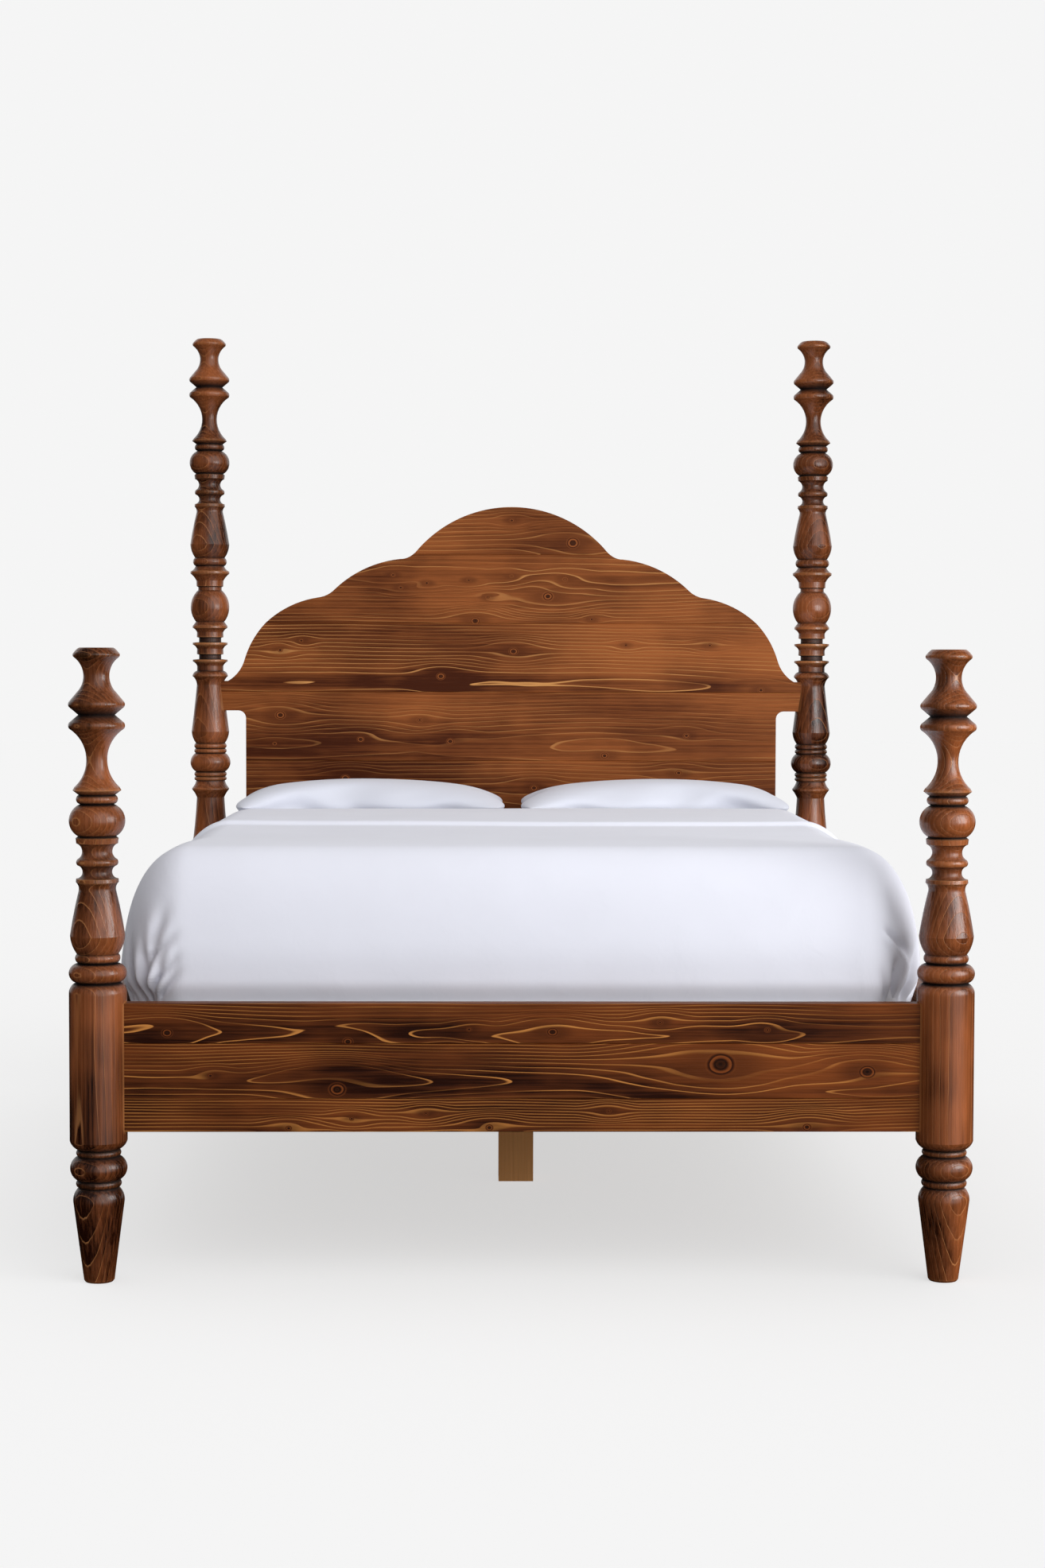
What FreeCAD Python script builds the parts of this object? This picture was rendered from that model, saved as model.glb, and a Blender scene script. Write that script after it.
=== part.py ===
import FreeCAD
import Part
import os
import re
import Sketcher
from FreeCAD import Placement, Rotation, Vector

# Poster bed: turned posts, scalloped headboard, railed frame with slats, and its bedding.
# Millimetres, +Z up, head of the bed towards +Y, origin on the floor under the middle of the bed.

doc = FreeCAD.newDocument("poster_bed")

# Driving sizes, grouped by the piece that they belong to
sizes = {
    # Mattress, which the bed is made round, and the room between it and the rails
    "mattress_width": 1500,
    "mattress_length": 2010,
    "mattress_height": 300,
    "mattress_corner_radius": 95,
    "mattress_edge_radius": 32,
    "room_across": 22,
    "room_along": 27,
    # Turned posts, section by section from the floor
    "column_radius": 53.5,
    "taper_height": 177,
    "lower_bead_height": 88,
    "column_height": 275,
    "upper_bead_height": 74,
    "middle_turning_height": 807,
    "top_turning_height": 568,
    # Rails, and how deep they are let into the posts
    "rail_bottom": 283,
    "rail_height": 240,
    "head_rail_height": 248,
    "rail_thickness": 36,
    "lower_board_height": 62,
    "middle_board_height": 103,
    "housing_floor": 44,
    "tenon_floor": 16,
    "tenon_thickness": 22,
    "tenon_shoulder": 25,
    "edge_ease": 1.5,
    # Headboard
    "panel_side_gap": 95,
    "panel_thickness": 40,
    "plank_height": 180,
    "crest_rise": 124,
    "ear_drop": 49,
    "ear_rise": 28,
    "ear_fillet": 20,
    "ear_flat": 20,
    "ear_floor": 28,
    "ear_tenon_floor": 9,
    "ear_tenon_thickness": 14,
    "ear_tenon_shoulder": 13,
    "tongue_height": 12,
    "tongue_thickness": 14,
    "tongue_inset": 40,
    # Slats, ledgers and centre support
    "slat_drop": 93,
    "slat_thickness": 20,
    "slat_width": 72,
    "slat_gap": 3,
    "first_slat_inset": 4,
    "ledger_width": 30,
    "ledger_height": 40,
    "beam_width": 40,
    "beam_height": 70,
    "leg_width": 77,
    "leg_offset": 60,
    "bridle_depth": 50,
    "bolt_radius": 4,
    "bolt_head_height": 5,
    "bolt_head_radius": 7.5,
    "nut_height": 6,
    "hanger_thickness": 3,
    "hanger_depth": 42,
    "hanger_flange_width": 108,
    # Hook plates on the side rails and slot plates in the posts
    "plate_width": 22,
    "plate_height": 130,
    "plate_thickness": 3,
    "plate_bottom_margin": 55,
    "hook_thickness": 4,
    "hook_reach": 9,
    "hook_neck_height": 16,
    "hook_lip_drop": 7,
    "hook_first_height": 32,
    "hook_pitch": 44,
    "cavity_depth": 13,
    "cavity_margin": 19,
    "plate_screw_margin": 9,
    # Wood screws
    "screw_radius": 2,
    "screw_head_radius": 4,
    "screw_head_height": 2.4,
    "plate_screw_length": 20,
    "ledger_screw_length": 52,
    "slat_screw_length": 44,
    "hanger_screw_length": 26,
    # Fitted sheet
    "sheet_thickness": 2,
    "sheet_hem_height": 30,
    # Duvet, tucked inside the rails
    "duvet_side_swell": 13,
    "duvet_foot_swell": 17,
    "duvet_tuck": 15,
    "duvet_loft": 57.6,
    "duvet_corner_radius": 112,
    "duvet_edge_round": 105,
    "fold_depth": 5,
    "fold_pitch_low": 26,
    "fold_pitch_high": 78,
    "turned_band_length": 575,
    "turned_band_rise": 14,
    "turned_band_hem": 47,
    "turned_band_swell": 3,
    "turned_band_round": 7,
    # Pillows
    "pillow_depth": 462,
    "pillow_rise": 121,
    "pillow_gap": 40,
    "pillow_end_room": 62,
    "pillow_head_gap": 8,
    "pillow_front_gap": 20,
    # Fits
    "fit_clearance": 0.2,
    "soft_clearance": 0.4,
    "overrun": 5,
}
slat_count = 13
hook_count = 2

sheet = doc.addObject("Spreadsheet::Sheet", "sizes")
for row, (alias, number) in enumerate(sizes.items(), start=1):
    sheet.set(f"A{row}", alias)
    sheet.set(f"B{row}", str(number))
    sheet.setAlias(f"B{row}", alias)
doc.recompute()

# Places that several pieces share, as formulas on the sheet
half_across = "(mattress_width / 2 + room_across + rail_thickness / 2)"
half_along = "(mattress_length / 2 + room_along + rail_thickness / 2)"
panel_half = f"({half_across} - panel_side_gap)"
rail_top = "(rail_bottom + rail_height)"
head_rail_top = "(rail_bottom + head_rail_height)"
rail_face_across = f"({half_across} - rail_thickness / 2)"
rail_face_along = f"({half_along} - rail_thickness / 2)"
slat_level = f"({rail_top} - slat_drop)"
slat_bottom = f"({slat_level} - slat_thickness)"
ledger_bottom = f"({slat_bottom} - ledger_height)"
beam_bottom = f"({slat_bottom} - beam_height)"
beam_end = f"({rail_face_along} - hanger_thickness - fit_clearance)"
ledger_end = f"({half_along} - column_radius - slat_gap)"
slat_span = f"(2 * ({ledger_end} - first_slat_inset) - slat_width)"
plate_bottom = "(rail_bottom + plate_bottom_margin)"
mattress_top = f"({slat_level} + mattress_height)"
sheet_top = f"({mattress_top} + soft_clearance + sheet_thickness)"
ear_seam = f"({head_rail_top} + 3 * plank_height)"
duvet_half = "(mattress_width / 2 + duvet_side_swell)"
duvet_foot = "(mattress_length / 2 + duvet_foot_swell)"
duvet_head = "(mattress_length / 2 - pillow_head_gap - pillow_depth - pillow_front_gap)"
duvet_bottom = f"({rail_top} - duvet_tuck)"
duvet_top = f"({sheet_top} + duvet_loft)"
pillow_length = "((mattress_width - pillow_gap) / 2 - pillow_end_room)"


def formula(text):
    """Turn the sizes named in a text into references to the sheet."""
    return re.sub(r"[a-z_]+", lambda m: f"sizes.{m.group()}" if m.group() in sizes else m.group(), text)


def value(text):
    return float(sheet.evalExpression(formula(text)))


def span(side, low, high):
    """An interval given for the positive side, turned over for the negative side."""
    return (low, high) if side > 0 else (f"-({high})", f"-({low})")


def about(middle, width):
    return f"{middle} - ({width}) / 2", f"{middle} + ({width}) / 2"


def box(name, across, along, up):
    """A block between two corners, each interval given as a pair of formulas."""
    piece = doc.addObject("Part::Box", name)
    for size, axis, (low, high) in zip(("Length", "Width", "Height"), "xyz", (across, along, up)):
        piece.setExpression(size, formula(f"({high}) - ({low})"))
        piece.setExpression(f"Placement.Base.{axis}", formula(low))
    return piece


def joined(name, pieces):
    union = doc.addObject("Part::MultiFuse", name)
    union.Shapes = pieces
    return union


def cut(name, base, tools):
    """The base with the tools taken out."""
    piece = doc.addObject("Part::Cut", name)
    piece.Base = base
    piece.Tool = tools[0] if len(tools) == 1 else joined(f"{name}_tools", tools)
    return piece


def placed(name, shapes):
    """One node of several separate solids."""
    group = doc.addObject("Part::Feature", name)
    group.Shape = Part.makeCompound(shapes)
    return group


# Sketches

def origin_plane(body, role):
    return next(plane for plane in body.Origin.OriginFeatures if plane.Role == role)


def sketch_on(body, name, role, offset="0"):
    sketch = body.newObject("Sketcher::SketchObject", name)
    sketch.AttachmentSupport = [(origin_plane(body, role), "")]
    sketch.MapMode = "FlatFace"
    if offset != "0":
        sketch.setExpression("AttachmentOffset.Base.z", formula(offset))
    return sketch


def at(point):
    return Vector(value(point[0]), value(point[1]), 0)


def draw(sketch, points):
    """A closed outline of (across, up, via) points; via is the point that an arc passes on its way there."""
    rules, bound, edges, mids = [], [], [], []

    def pin(index, end, point):
        for kind, axis, text in (("DistanceX", -2, point[0]), ("DistanceY", -1, point[1])):
            if text == "0":
                rules.append(Sketcher.Constraint("PointOnObject", index, end, axis))
                continue
            number = value(text)
            ends = (-1, 1, index, end) if number > 0 else (index, end, -1, 1)
            bound.append((len(rules), text if number > 0 else f"-({text})"))
            rules.append(Sketcher.Constraint(kind, *ends, abs(number)))

    for here, there in zip(points, points[1:] + points[:1]):
        start, end, via = at(here), at(there), there[2]
        line = Part.Arc(start, at(via), end) if via else Part.LineSegment(start, end)
        index = sketch.addGeometry(line, False)
        first = sketch.getPoint(index, 1)
        start_end = 1 if first.distanceToPoint(start) < first.distanceToPoint(end) else 2
        edges.append((index, start_end))
        if via:
            mids.append((index, via))
    for (index, start_end), (next_index, next_end), point in zip(edges, edges[1:] + edges[:1], points):
        rules.append(Sketcher.Constraint("Coincident", index, 3 - start_end, next_index, next_end))
        pin(index, start_end, point)
    for index, via in mids:
        marker = sketch.addGeometry(Part.Point(at(via)), True)
        pin(marker, 1, via)
        rules.append(Sketcher.Constraint("PointOnObject", marker, 1, index))
    sketch.addConstraint(rules)
    for number, text in bound:
        sketch.setExpression(f"Constraints[{number}]", formula(text))


def both_sides(half):
    """The right half of an outline, from bottom to top, and the same on the left."""
    def turned(point):
        return (point[0] if point[0] == "0" else f"-({point[0]})", point[1])

    left, via = [], None
    for point in reversed(half):
        if point[0] != "0":
            left.append((*turned(point), via))
        via = turned(point[2]) if point[2] else None
    return half + left


def rectangle(across, up):
    (left, right), (low, high) = across, up
    return [(left, low, None), (right, low, None), (right, high, None), (left, high, None)]


# Turned posts

# Each row of a turning: height as a share of its section, radius as a share of the column's radius and,
# for a bead or a cove, the radius halfway up the arc that leads there.
foot_radius_share = 0.48
taper_shares = [
    (0.02, 0.53, None),  # eased foot
    (0.83, 0.88, None),  # straight taper
    (1.00, 0.695, 0.87),  # shoulder
]
lower_bead_shares = [
    (0.16, 0.73, 0.79),  # small bead
    (0.67, 0.71, 0.99),  # large bead
    (0.81, 0.71, 0.78),  # small bead
    (1.00, 1.00, 0.92),  # shoulder of the column
]
column_shares = [(1.00, 1.00, None)]
upper_bead_shares = [
    (0.28, 0.755, 0.96),  # shoulder of the column
    (0.76, 0.65, 1.00),  # large bead
    (1.00, 0.72, 0.78),  # small bead
]
top_turning_shares = [
    (0.060, 0.95, 0.885),  # belly of the vase
    (0.209, 0.64, 0.815),  # neck of the vase
    (0.235, 0.74, 0.65),  # flare
    (0.246, 0.73, None),  # collar
    (0.290, 0.68, 0.51),  # cove
    (0.310, 0.68, 0.725),  # ring
    (0.362, 0.72, 0.52),  # cove
    (0.379, 0.74, None),  # collar
    (0.385, 0.66, None),  # groove
    (0.490, 0.58, 0.97),  # ball
    (0.520, 0.63, 0.72),  # bead
    (0.535, 0.84, None),  # ring
    (0.545, 0.78, None),
    (0.736, 0.945, 0.36),  # long waist
    (0.756, 0.94, 0.975),  # lip of the lower twin ring
    (0.781, 0.63, None),  # groove between the twins
    (0.806, 0.94, None),
    (0.825, 0.935, 0.975),  # lip of the upper twin ring
    (0.853, 0.69, None),  # slope to the neck
    (0.969, 0.775, 0.445),  # neck
    (0.984, 0.77, 0.81),  # lip of the cap
    (1.000, 0.59, 0.70),  # its sloping top
]
disc_start_shares = (0.634, 0.689, 0.743)
disc_shares = [
    (0.016, 0.64, None),  # collar
    (0.030, 0.85, 0.70),  # flare
    (0.036, 0.85, None),  # edge of the disc
]
disc_groove_shares = [
    (0.038, 0.54, None),  # flat top of the disc
    (0.052, 0.54, None),  # groove
    (0.054, 0.65, None),
]
middle_low_shares = [
    (0.042, 0.95, 0.885),  # belly of the lower vase
    (0.223, 0.67, 0.775),  # its long neck
    (0.2466, 0.88, 0.755),  # flare
    (0.254, 0.88, 0.905),  # lip of the ring
    (0.2776, 0.70, 0.76),  # hollow
    (0.2906, 0.71, 0.79),  # reed
    (0.3061, 0.71, 0.79),  # reed
    (0.3668, 0.72, 0.975),  # ball
    (0.3817, 0.71, 0.79),  # reed
    (0.399, 0.71, 0.79),  # reed
    (0.437, 0.915, 0.86),  # belly of the upper vase
    (0.588, 0.655, 0.775),  # its neck, where the headboard's ear enters
    (0.617, 0.87, 0.70),  # flare
    (0.634, 0.64, 0.82),  # ring
]
middle_high_shares = [
    (0.793, 0.69, None),  # slope of the last disc
    (0.889, 0.67, 0.94),  # ball
    (0.895, 0.57, None),  # groove
    (0.905, 0.57, None),
    (0.908, 0.65, None),  # collar
    (0.926, 0.66, None),
    (0.949, 0.95, 0.77),  # flare
    (0.955, 0.95, None),  # ring
    (0.973, 0.69, 0.77),  # hollow
    (1.000, 0.72, 0.82),  # bead
]


def disc_stack_shares():
    """Three collared discs with a groove between each two."""
    rows = []
    for start in disc_start_shares:
        unit = disc_shares if start == disc_start_shares[-1] else disc_shares + disc_groove_shares
        rows += [(start + rise, radius, halfway) for rise, radius, halfway in unit]
    return rows


lower_sections = [
    ("taper_height", taper_shares),
    ("lower_bead_height", lower_bead_shares),
    ("column_height", column_shares),
    ("upper_bead_height", upper_bead_shares),
]
top_section = ("top_turning_height", top_turning_shares)
middle_sections = [
    ("middle_turning_height", middle_low_shares),
    ("middle_turning_height", disc_stack_shares() + middle_high_shares),
]
foot_sections = lower_sections + [top_section]
head_sections = lower_sections + middle_sections + [top_section]


def turning(name, sections, side, end):
    """A post as it comes off the lathe, section by section, standing on its corner of the bed."""
    body = doc.addObject("PartDesign::Body", name)
    base, reached, radius = "0", 0, foot_radius_share
    for number, (length, rows) in enumerate(sections, start=1):
        start = f"{base} + {reached} * {length}" if base != "0" or reached else "0"
        points = [("0", start, None), (f"{radius} * column_radius", start, None)]
        for share, radius, halfway in rows:
            middle = f"{base} + {(share + reached) / 2} * {length}"
            via = (f"{halfway} * column_radius", middle) if halfway else None
            points.append((f"{radius} * column_radius", f"{base} + {share} * {length}", via))
            reached = share
        points.append(("0", points[-1][1], None))
        if reached == 1:
            base, reached = f"{base} + {length}", 0
        profile = sketch_on(body, f"{name}_profile_{number}", "XZ_Plane")
        draw(profile, points)
        revolution = body.newObject("PartDesign::Revolution", f"{name}_revolution_{number}")
        revolution.Profile = profile
        revolution.ReferenceAxis = (profile, ["V_Axis"])
        revolution.Angle = 360
    body.setExpression("Placement.Base.x", formula(f"{side} * {half_across}"))
    body.setExpression("Placement.Base.y", formula(f"{end} * {half_along}"))
    return body


# Screws

def along(shape, point, direction):
    """A copy of a shape that was made along +Z, put at a point and turned to a direction."""
    copy = shape.copy()
    copy.Placement = Placement(point, Rotation(Vector(0, 0, 1), direction))
    return copy


def screw(length, spare):
    """A countersunk screw from its head down, or its hole when spare room is asked for."""
    head_radius = value("screw_head_radius") + spare
    shank_radius = value("screw_radius") + spare
    head = Part.makeCone(head_radius, shank_radius, value("screw_head_height"))
    shank = Part.makeCylinder(shank_radius, value(length) + spare)
    return head.fuse(shank).removeSplitter()


def screws(name, length, spots):
    shape = screw(length, 0)
    return placed(name, [along(shape, *spot) for spot in spots])


def screw_holes(name, length, spots):
    shape = screw(length, value("fit_clearance"))
    return placed(name, [along(shape, *spot) for spot in spots])


def spot(across, along_bed, up, direction):
    return Vector(value(across), value(along_bed), value(up)), Vector(*direction)


def slat_place(index):
    return f"(-{slat_span} / 2 + {index} * {slat_span} / {slat_count - 1})"


def ledger_screw_spots(side):
    face = f"{side} * ({rail_face_across} - ledger_width)"
    middle = f"{ledger_bottom} + ledger_height / 2"
    places = [slat_place(f"({index} + 1 / 2)") for index in range(0, slat_count - 1, 2)]
    return [spot(face, place, middle, (side, 0, 0)) for place in places]


def slat_screw_spots(side, index):
    across = f"{side} * ({rail_face_across} - ledger_width / 2)"
    return [spot(across, slat_place(index), slat_level, (0, 0, -1))]


def plate_screw_spots(side, end, face, inward):
    """Two screws through a plate whose face lies at a distance from the post's axis."""
    direction = (0, end * inward, 0)
    place = f"{end} * ({half_along} - ({face}))"
    heights = (f"{plate_bottom} + plate_screw_margin", f"{plate_bottom} + plate_height - plate_screw_margin")
    return [spot(f"{side} * {half_across}", place, height, direction) for height in heights]


def post_plate_spots(side, end):
    return plate_screw_spots(side, end, "housing_floor", 1)


def rail_plate_spots(side, end):
    return plate_screw_spots(side, end, "housing_floor + fit_clearance", -1)


def hanger_screw_spots(end):
    face = f"{end} * ({rail_face_along} - hanger_thickness)"
    reach = "(hanger_flange_width + beam_width) / 4 + hanger_thickness / 2"
    return [
        spot(f"{side} * ({reach})", face, f"{beam_bottom} + beam_height / 2", (0, end, 0)) for side in (-1, 1)
    ]


# Housings in the posts

def cross_rail_housing(name, side, end, top):
    """The full section of a cross rail and, further in, its tenon."""
    depth = span(side, f"{half_across} - column_radius - overrun", f"{half_across} - housing_floor")
    tenon_depth = span(
        side,
        f"{half_across} - housing_floor - overrun",
        f"{half_across} - tenon_floor + fit_clearance",
    )
    middle = f"{end} * {half_along}"
    section = about(middle, "rail_thickness + 2 * fit_clearance")
    tenon_section = about(middle, "tenon_thickness + 2 * fit_clearance")
    up = ("rail_bottom - fit_clearance", f"{top} + fit_clearance")
    tenon_up = ("rail_bottom + tenon_shoulder - fit_clearance", f"{top} - tenon_shoulder + fit_clearance")
    return [
        box(f"{name}_rail_housing", depth, section, up),
        box(f"{name}_rail_mortise", tenon_depth, tenon_section, tenon_up),
    ]


def side_rail_housing(name, side, end):
    """The full section of a side rail, the recess of the slot plate and room for its hooks."""
    middle = f"{side} * {half_across}"

    def depth(near, far):
        return span(end, f"{half_along} - ({far})", f"{half_along} - ({near})")

    section = about(middle, "rail_thickness + 2 * fit_clearance")
    up = ("rail_bottom - fit_clearance", f"{rail_top} + fit_clearance")
    plate_up = (f"{plate_bottom} - fit_clearance", f"{plate_bottom} + plate_height + fit_clearance")
    cavity_up = (f"{plate_bottom} + cavity_margin", f"{plate_bottom} + plate_height - cavity_margin")
    plate_floor = "housing_floor - plate_thickness - fit_clearance"
    return [
        box(f"{name}_side_housing", section, depth("housing_floor", "column_radius + overrun"), up),
        box(
            f"{name}_plate_recess",
            about(middle, "plate_width + 2 * fit_clearance"),
            depth(plate_floor, "housing_floor + overrun"),
            plate_up,
        ),
        box(
            f"{name}_hook_cavity",
            about(middle, "plate_width / 2"),
            depth("housing_floor - plate_thickness - cavity_depth", "housing_floor"),
            cavity_up,
        ),
        screw_holes(f"{name}_plate_holes", "plate_screw_length", post_plate_spots(side, end)),
    ]


def ear_housing(name, side):
    """The end of the headboard's ear and its tenon."""
    middle = half_along
    depth = span(
        side,
        f"{half_across} - column_radius - overrun",
        f"{half_across} - ear_floor + fit_clearance",
    )
    tenon_depth = span(
        side,
        f"{half_across} - ear_floor - overrun",
        f"{half_across} - ear_tenon_floor + fit_clearance",
    )
    low, high = f"{ear_seam} - ear_drop", f"{ear_seam} + ear_rise"
    tenon_section = about(middle, "ear_tenon_thickness + 2 * fit_clearance")
    return [
        box(
            f"{name}_ear_housing",
            depth,
            about(middle, "panel_thickness + 2 * fit_clearance"),
            (f"{low} - fit_clearance", f"{high} + fit_clearance"),
        ),
        box(
            f"{name}_ear_mortise",
            tenon_depth,
            tenon_section,
            (f"{low} + ear_tenon_shoulder - fit_clearance", f"{high} - ear_tenon_shoulder + fit_clearance"),
        ),
    ]


def post(name, side, end):
    sections = head_sections if end > 0 else foot_sections
    blank = turning(f"{name}_turning", sections, side, end)
    tools = cross_rail_housing(name, side, end, head_rail_top if end > 0 else rail_top)
    tools += side_rail_housing(name, side, end)
    if end > 0:
        tools += ear_housing(name, side)
    return cut(name, blank, tools)


# Boards

def edge_bars(name, run, faces, levels):
    """Square bars laid on edge along a board's long edges, cut away for a fine groove at each seam."""
    axis, across, reach = Vector(1, 0, 0), "y", half_across
    if run == "y":
        axis, across, reach = Vector(0, -1, 0), "x", half_along
    bars = []
    for face in faces:
        for level in levels:
            bar = doc.addObject("Part::Box", f"{name}_edge_bar_{len(bars) + 1}")
            for size in ("Length", "Width", "Height"):
                bar.setExpression(size, formula("edge_ease * sqrt(2)"))
            bar.setExpression("Length" if run == "x" else "Width", formula(f"2 * {reach}"))
            bar.Placement.Rotation = Rotation(axis, 45)
            bar.setExpression(f"Placement.Base.{run}", formula(f"-{reach}"))
            bar.setExpression(f"Placement.Base.{across}", formula(face))
            bar.setExpression("Placement.Base.z", formula(f"{level} - edge_ease"))
            bars.append(bar)
    return bars


def board(name, role, outline, thickness, middle, levels, tongues=(), tongue_thickness=None, tools=()):
    """A board sawn to an outline, with eased edges and any tenons or tongues as thinner blocks."""
    body = doc.addObject("PartDesign::Body", f"{name}_blank")
    run, across = ("x", "y") if role == "XZ_Plane" else ("y", "x")
    body.setExpression(f"Placement.Base.{across}", formula(middle))
    layers = [(outline, thickness)] + [(tongue, tongue_thickness) for tongue in tongues]
    for number, (points, depth) in enumerate(layers, start=1):
        face = sketch_on(body, f"{name}_outline_{number}", role)
        draw(face, points)
        pad = body.newObject("PartDesign::Pad", f"{name}_pad_{number}")
        pad.Profile = face
        pad.SideType = "Symmetric"
        pad.setExpression("Length", formula(depth))
    return cut(name, body, [*edge_bars(name, run, about(middle, thickness), levels), *tools])


def end_tenons(start, reach, up):
    """A tenon at each end of a cross board, rooted a little inside it."""
    return [rectangle(span(side, f"{start} - overrun", reach), up) for side in (-1, 1)]


def cross_rail(prefix, end, top):
    """Three boards glued edge to edge, tenoned together into the two posts."""
    shoulder = f"({half_across} - housing_floor - fit_clearance)"
    reach = f"({half_across} - tenon_floor)"
    low, high = "(rail_bottom + tenon_shoulder)", f"({top} - tenon_shoulder)"
    first_seam = "(rail_bottom + lower_board_height)"
    second_seam = f"({first_seam} + middle_board_height)"
    levels = {
        "lower": (("rail_bottom", first_seam), (low, first_seam)),
        "middle": ((first_seam, second_seam), (first_seam, second_seam)),
        "upper": ((second_seam, top), (second_seam, high)),
    }
    holes = screw_holes(f"{prefix}_hanger_holes", "hanger_screw_length", hanger_screw_spots(end))
    tools = {"middle": [holes]}
    if end > 0:
        groove = box(
            f"{prefix}_groove",
            about("0", f"2 * ({panel_half} - tongue_inset + fit_clearance)"),
            about(half_along, "tongue_thickness + 2 * fit_clearance"),
            (f"{top} - tongue_height - fit_clearance", f"{top} + overrun"),
        )
        tools["upper"] = [groove]
    boards = {}
    for level, (up, tenon_up) in levels.items():
        name = f"{prefix}_board_{level}"
        boards[name] = board(
            name,
            "XZ_Plane",
            rectangle((f"-{shoulder}", shoulder), up),
            "rail_thickness",
            f"{end} * {half_along}",
            up,
            end_tenons(shoulder, reach, tenon_up),
            "tenon_thickness",
            tools.get(level, ()),
        )
    return boards


# Headboard

# Points of the scalloped outline: shares of half the panel's width and of the plank's height
crest_shares = {"end": (0.36, 0.039), "via": (0.3653, 0.0186), "seam": (0.3714, 0)}
upper_hollow_shares = {"via": (0.394, 0.949)}
upper_lobe_shares = {"start": (0.4194, 0.933), "via": (0.5475, 0.799), "end": (0.6647, 0.4944)}
lower_hollow_shares = {"via": (0.6921, 0.4144)}
lower_lobe_shares = {"start": (0.7281, 0.3722), "via": (0.8331, 0.2472), "seam": (0.9259, 0)}
ear_lobe_shares = {"via": (0.9691, 0.7806), "end": (1.0036, 0.4833)}
# The ear's hollow, on its way from the lower lobe to the ear's end: shares of that width and height
ear_hollow_shares = (0.27, 0.525)
arc_middle_share = 0.29289


def plank_outlines():
    """Half outlines of the six planks, from the head rail to the crest."""
    half = panel_half
    levels = [f"({head_rail_top} + {number} * plank_height)" for number in range(6)]
    across, up = crest_shares["end"]
    crest, rise = f"({across} * {half})", f"(crest_rise - {up} * plank_height)"
    chord = f"sqrt({crest} ^ 2 + {rise} ^ 2)"
    radius = f"(({crest} ^ 2 + {rise} ^ 2) / (2 * {rise}))"
    ear_end = f"({half_across} - ear_floor)"
    ear_low, ear_high = f"({levels[3]} - ear_drop)", f"({levels[3]} + ear_rise)"

    def on(level, shares):
        return f"{shares[0]} * {half}", f"{levels[level]} + {shares[1]} * plank_height"

    lobe_low = on(3, ear_lobe_shares["end"])
    ear_start = f"({ear_end} - ear_flat)"
    hollow_across, hollow_up = ear_hollow_shares
    ear_hollow = (
        f"{lobe_low[0]} + {hollow_across} * ({ear_start} - {lobe_low[0]})",
        f"{ear_high} + {hollow_up} * ({lobe_low[1]} - {ear_high})",
    )
    crest_top = f"{levels[5]} + crest_rise"
    crest_via = (f"{chord} / 2", f"{crest_top} - {radius} * (1 - {crest} / {chord})")
    fillet_via = (f"{half} + {arc_middle_share} * ear_fillet", f"{ear_low} - {arc_middle_share} * ear_fillet")
    plain = [[(half, levels[number], None), (half, levels[number + 1], None)] for number in range(2)]
    ear_under = [
        (half, levels[2], None),
        (half, f"{ear_low} - ear_fillet", None),
        (f"{half} + ear_fillet", ear_low, fillet_via),
        (ear_end, ear_low, None),
        (ear_end, levels[3], None),
    ]
    ear_over = [
        (ear_end, levels[3], None),
        (ear_end, ear_high, None),
        (ear_start, ear_high, None),
        (*lobe_low, ear_hollow),
        (*on(4, lower_lobe_shares["seam"]), on(3, ear_lobe_shares["via"])),
    ]
    lobes = [
        (*on(4, lower_lobe_shares["seam"]), None),
        (*on(4, lower_lobe_shares["start"]), on(4, lower_lobe_shares["via"])),
        (*on(4, upper_lobe_shares["end"]), on(4, lower_hollow_shares["via"])),
        (*on(4, upper_lobe_shares["start"]), on(4, upper_lobe_shares["via"])),
        (*on(5, crest_shares["seam"]), on(4, upper_hollow_shares["via"])),
    ]
    top = [
        (*on(5, crest_shares["seam"]), None),
        (*on(5, crest_shares["end"]), on(5, crest_shares["via"])),
        ("0", crest_top, crest_via),
    ]
    return [*plain, ear_under, ear_over, lobes, top]


def headboard():
    ear_end, reach = f"({half_across} - ear_floor)", f"({half_across} - ear_tenon_floor)"
    under = (f"{ear_seam} - ear_drop + ear_tenon_shoulder", ear_seam)
    over = (ear_seam, f"{ear_seam} + ear_rise - ear_tenon_shoulder")
    foot = rectangle(
        about("0", f"2 * ({panel_half} - tongue_inset)"),
        (f"{head_rail_top} - tongue_height", f"{head_rail_top} + overrun"),
    )
    tongues = {
        1: ([foot], "tongue_thickness"),
        3: (end_tenons(ear_end, reach, under), "ear_tenon_thickness"),
        4: (end_tenons(ear_end, reach, over), "ear_tenon_thickness"),
    }
    planks = {}
    for number, half in enumerate(plank_outlines(), start=1):
        name = f"headboard_plank_{number}"
        low, high = half[0][1], half[-1][1]
        seams = (low, high) if half[-1][0] != "0" else (low,)
        outline, own = both_sides(half), tongues.get(number, ())
        planks[name] = board(name, "XZ_Plane", outline, "panel_thickness", half_along, seams, *own)
    return planks


# Side rails and their hardware

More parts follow.
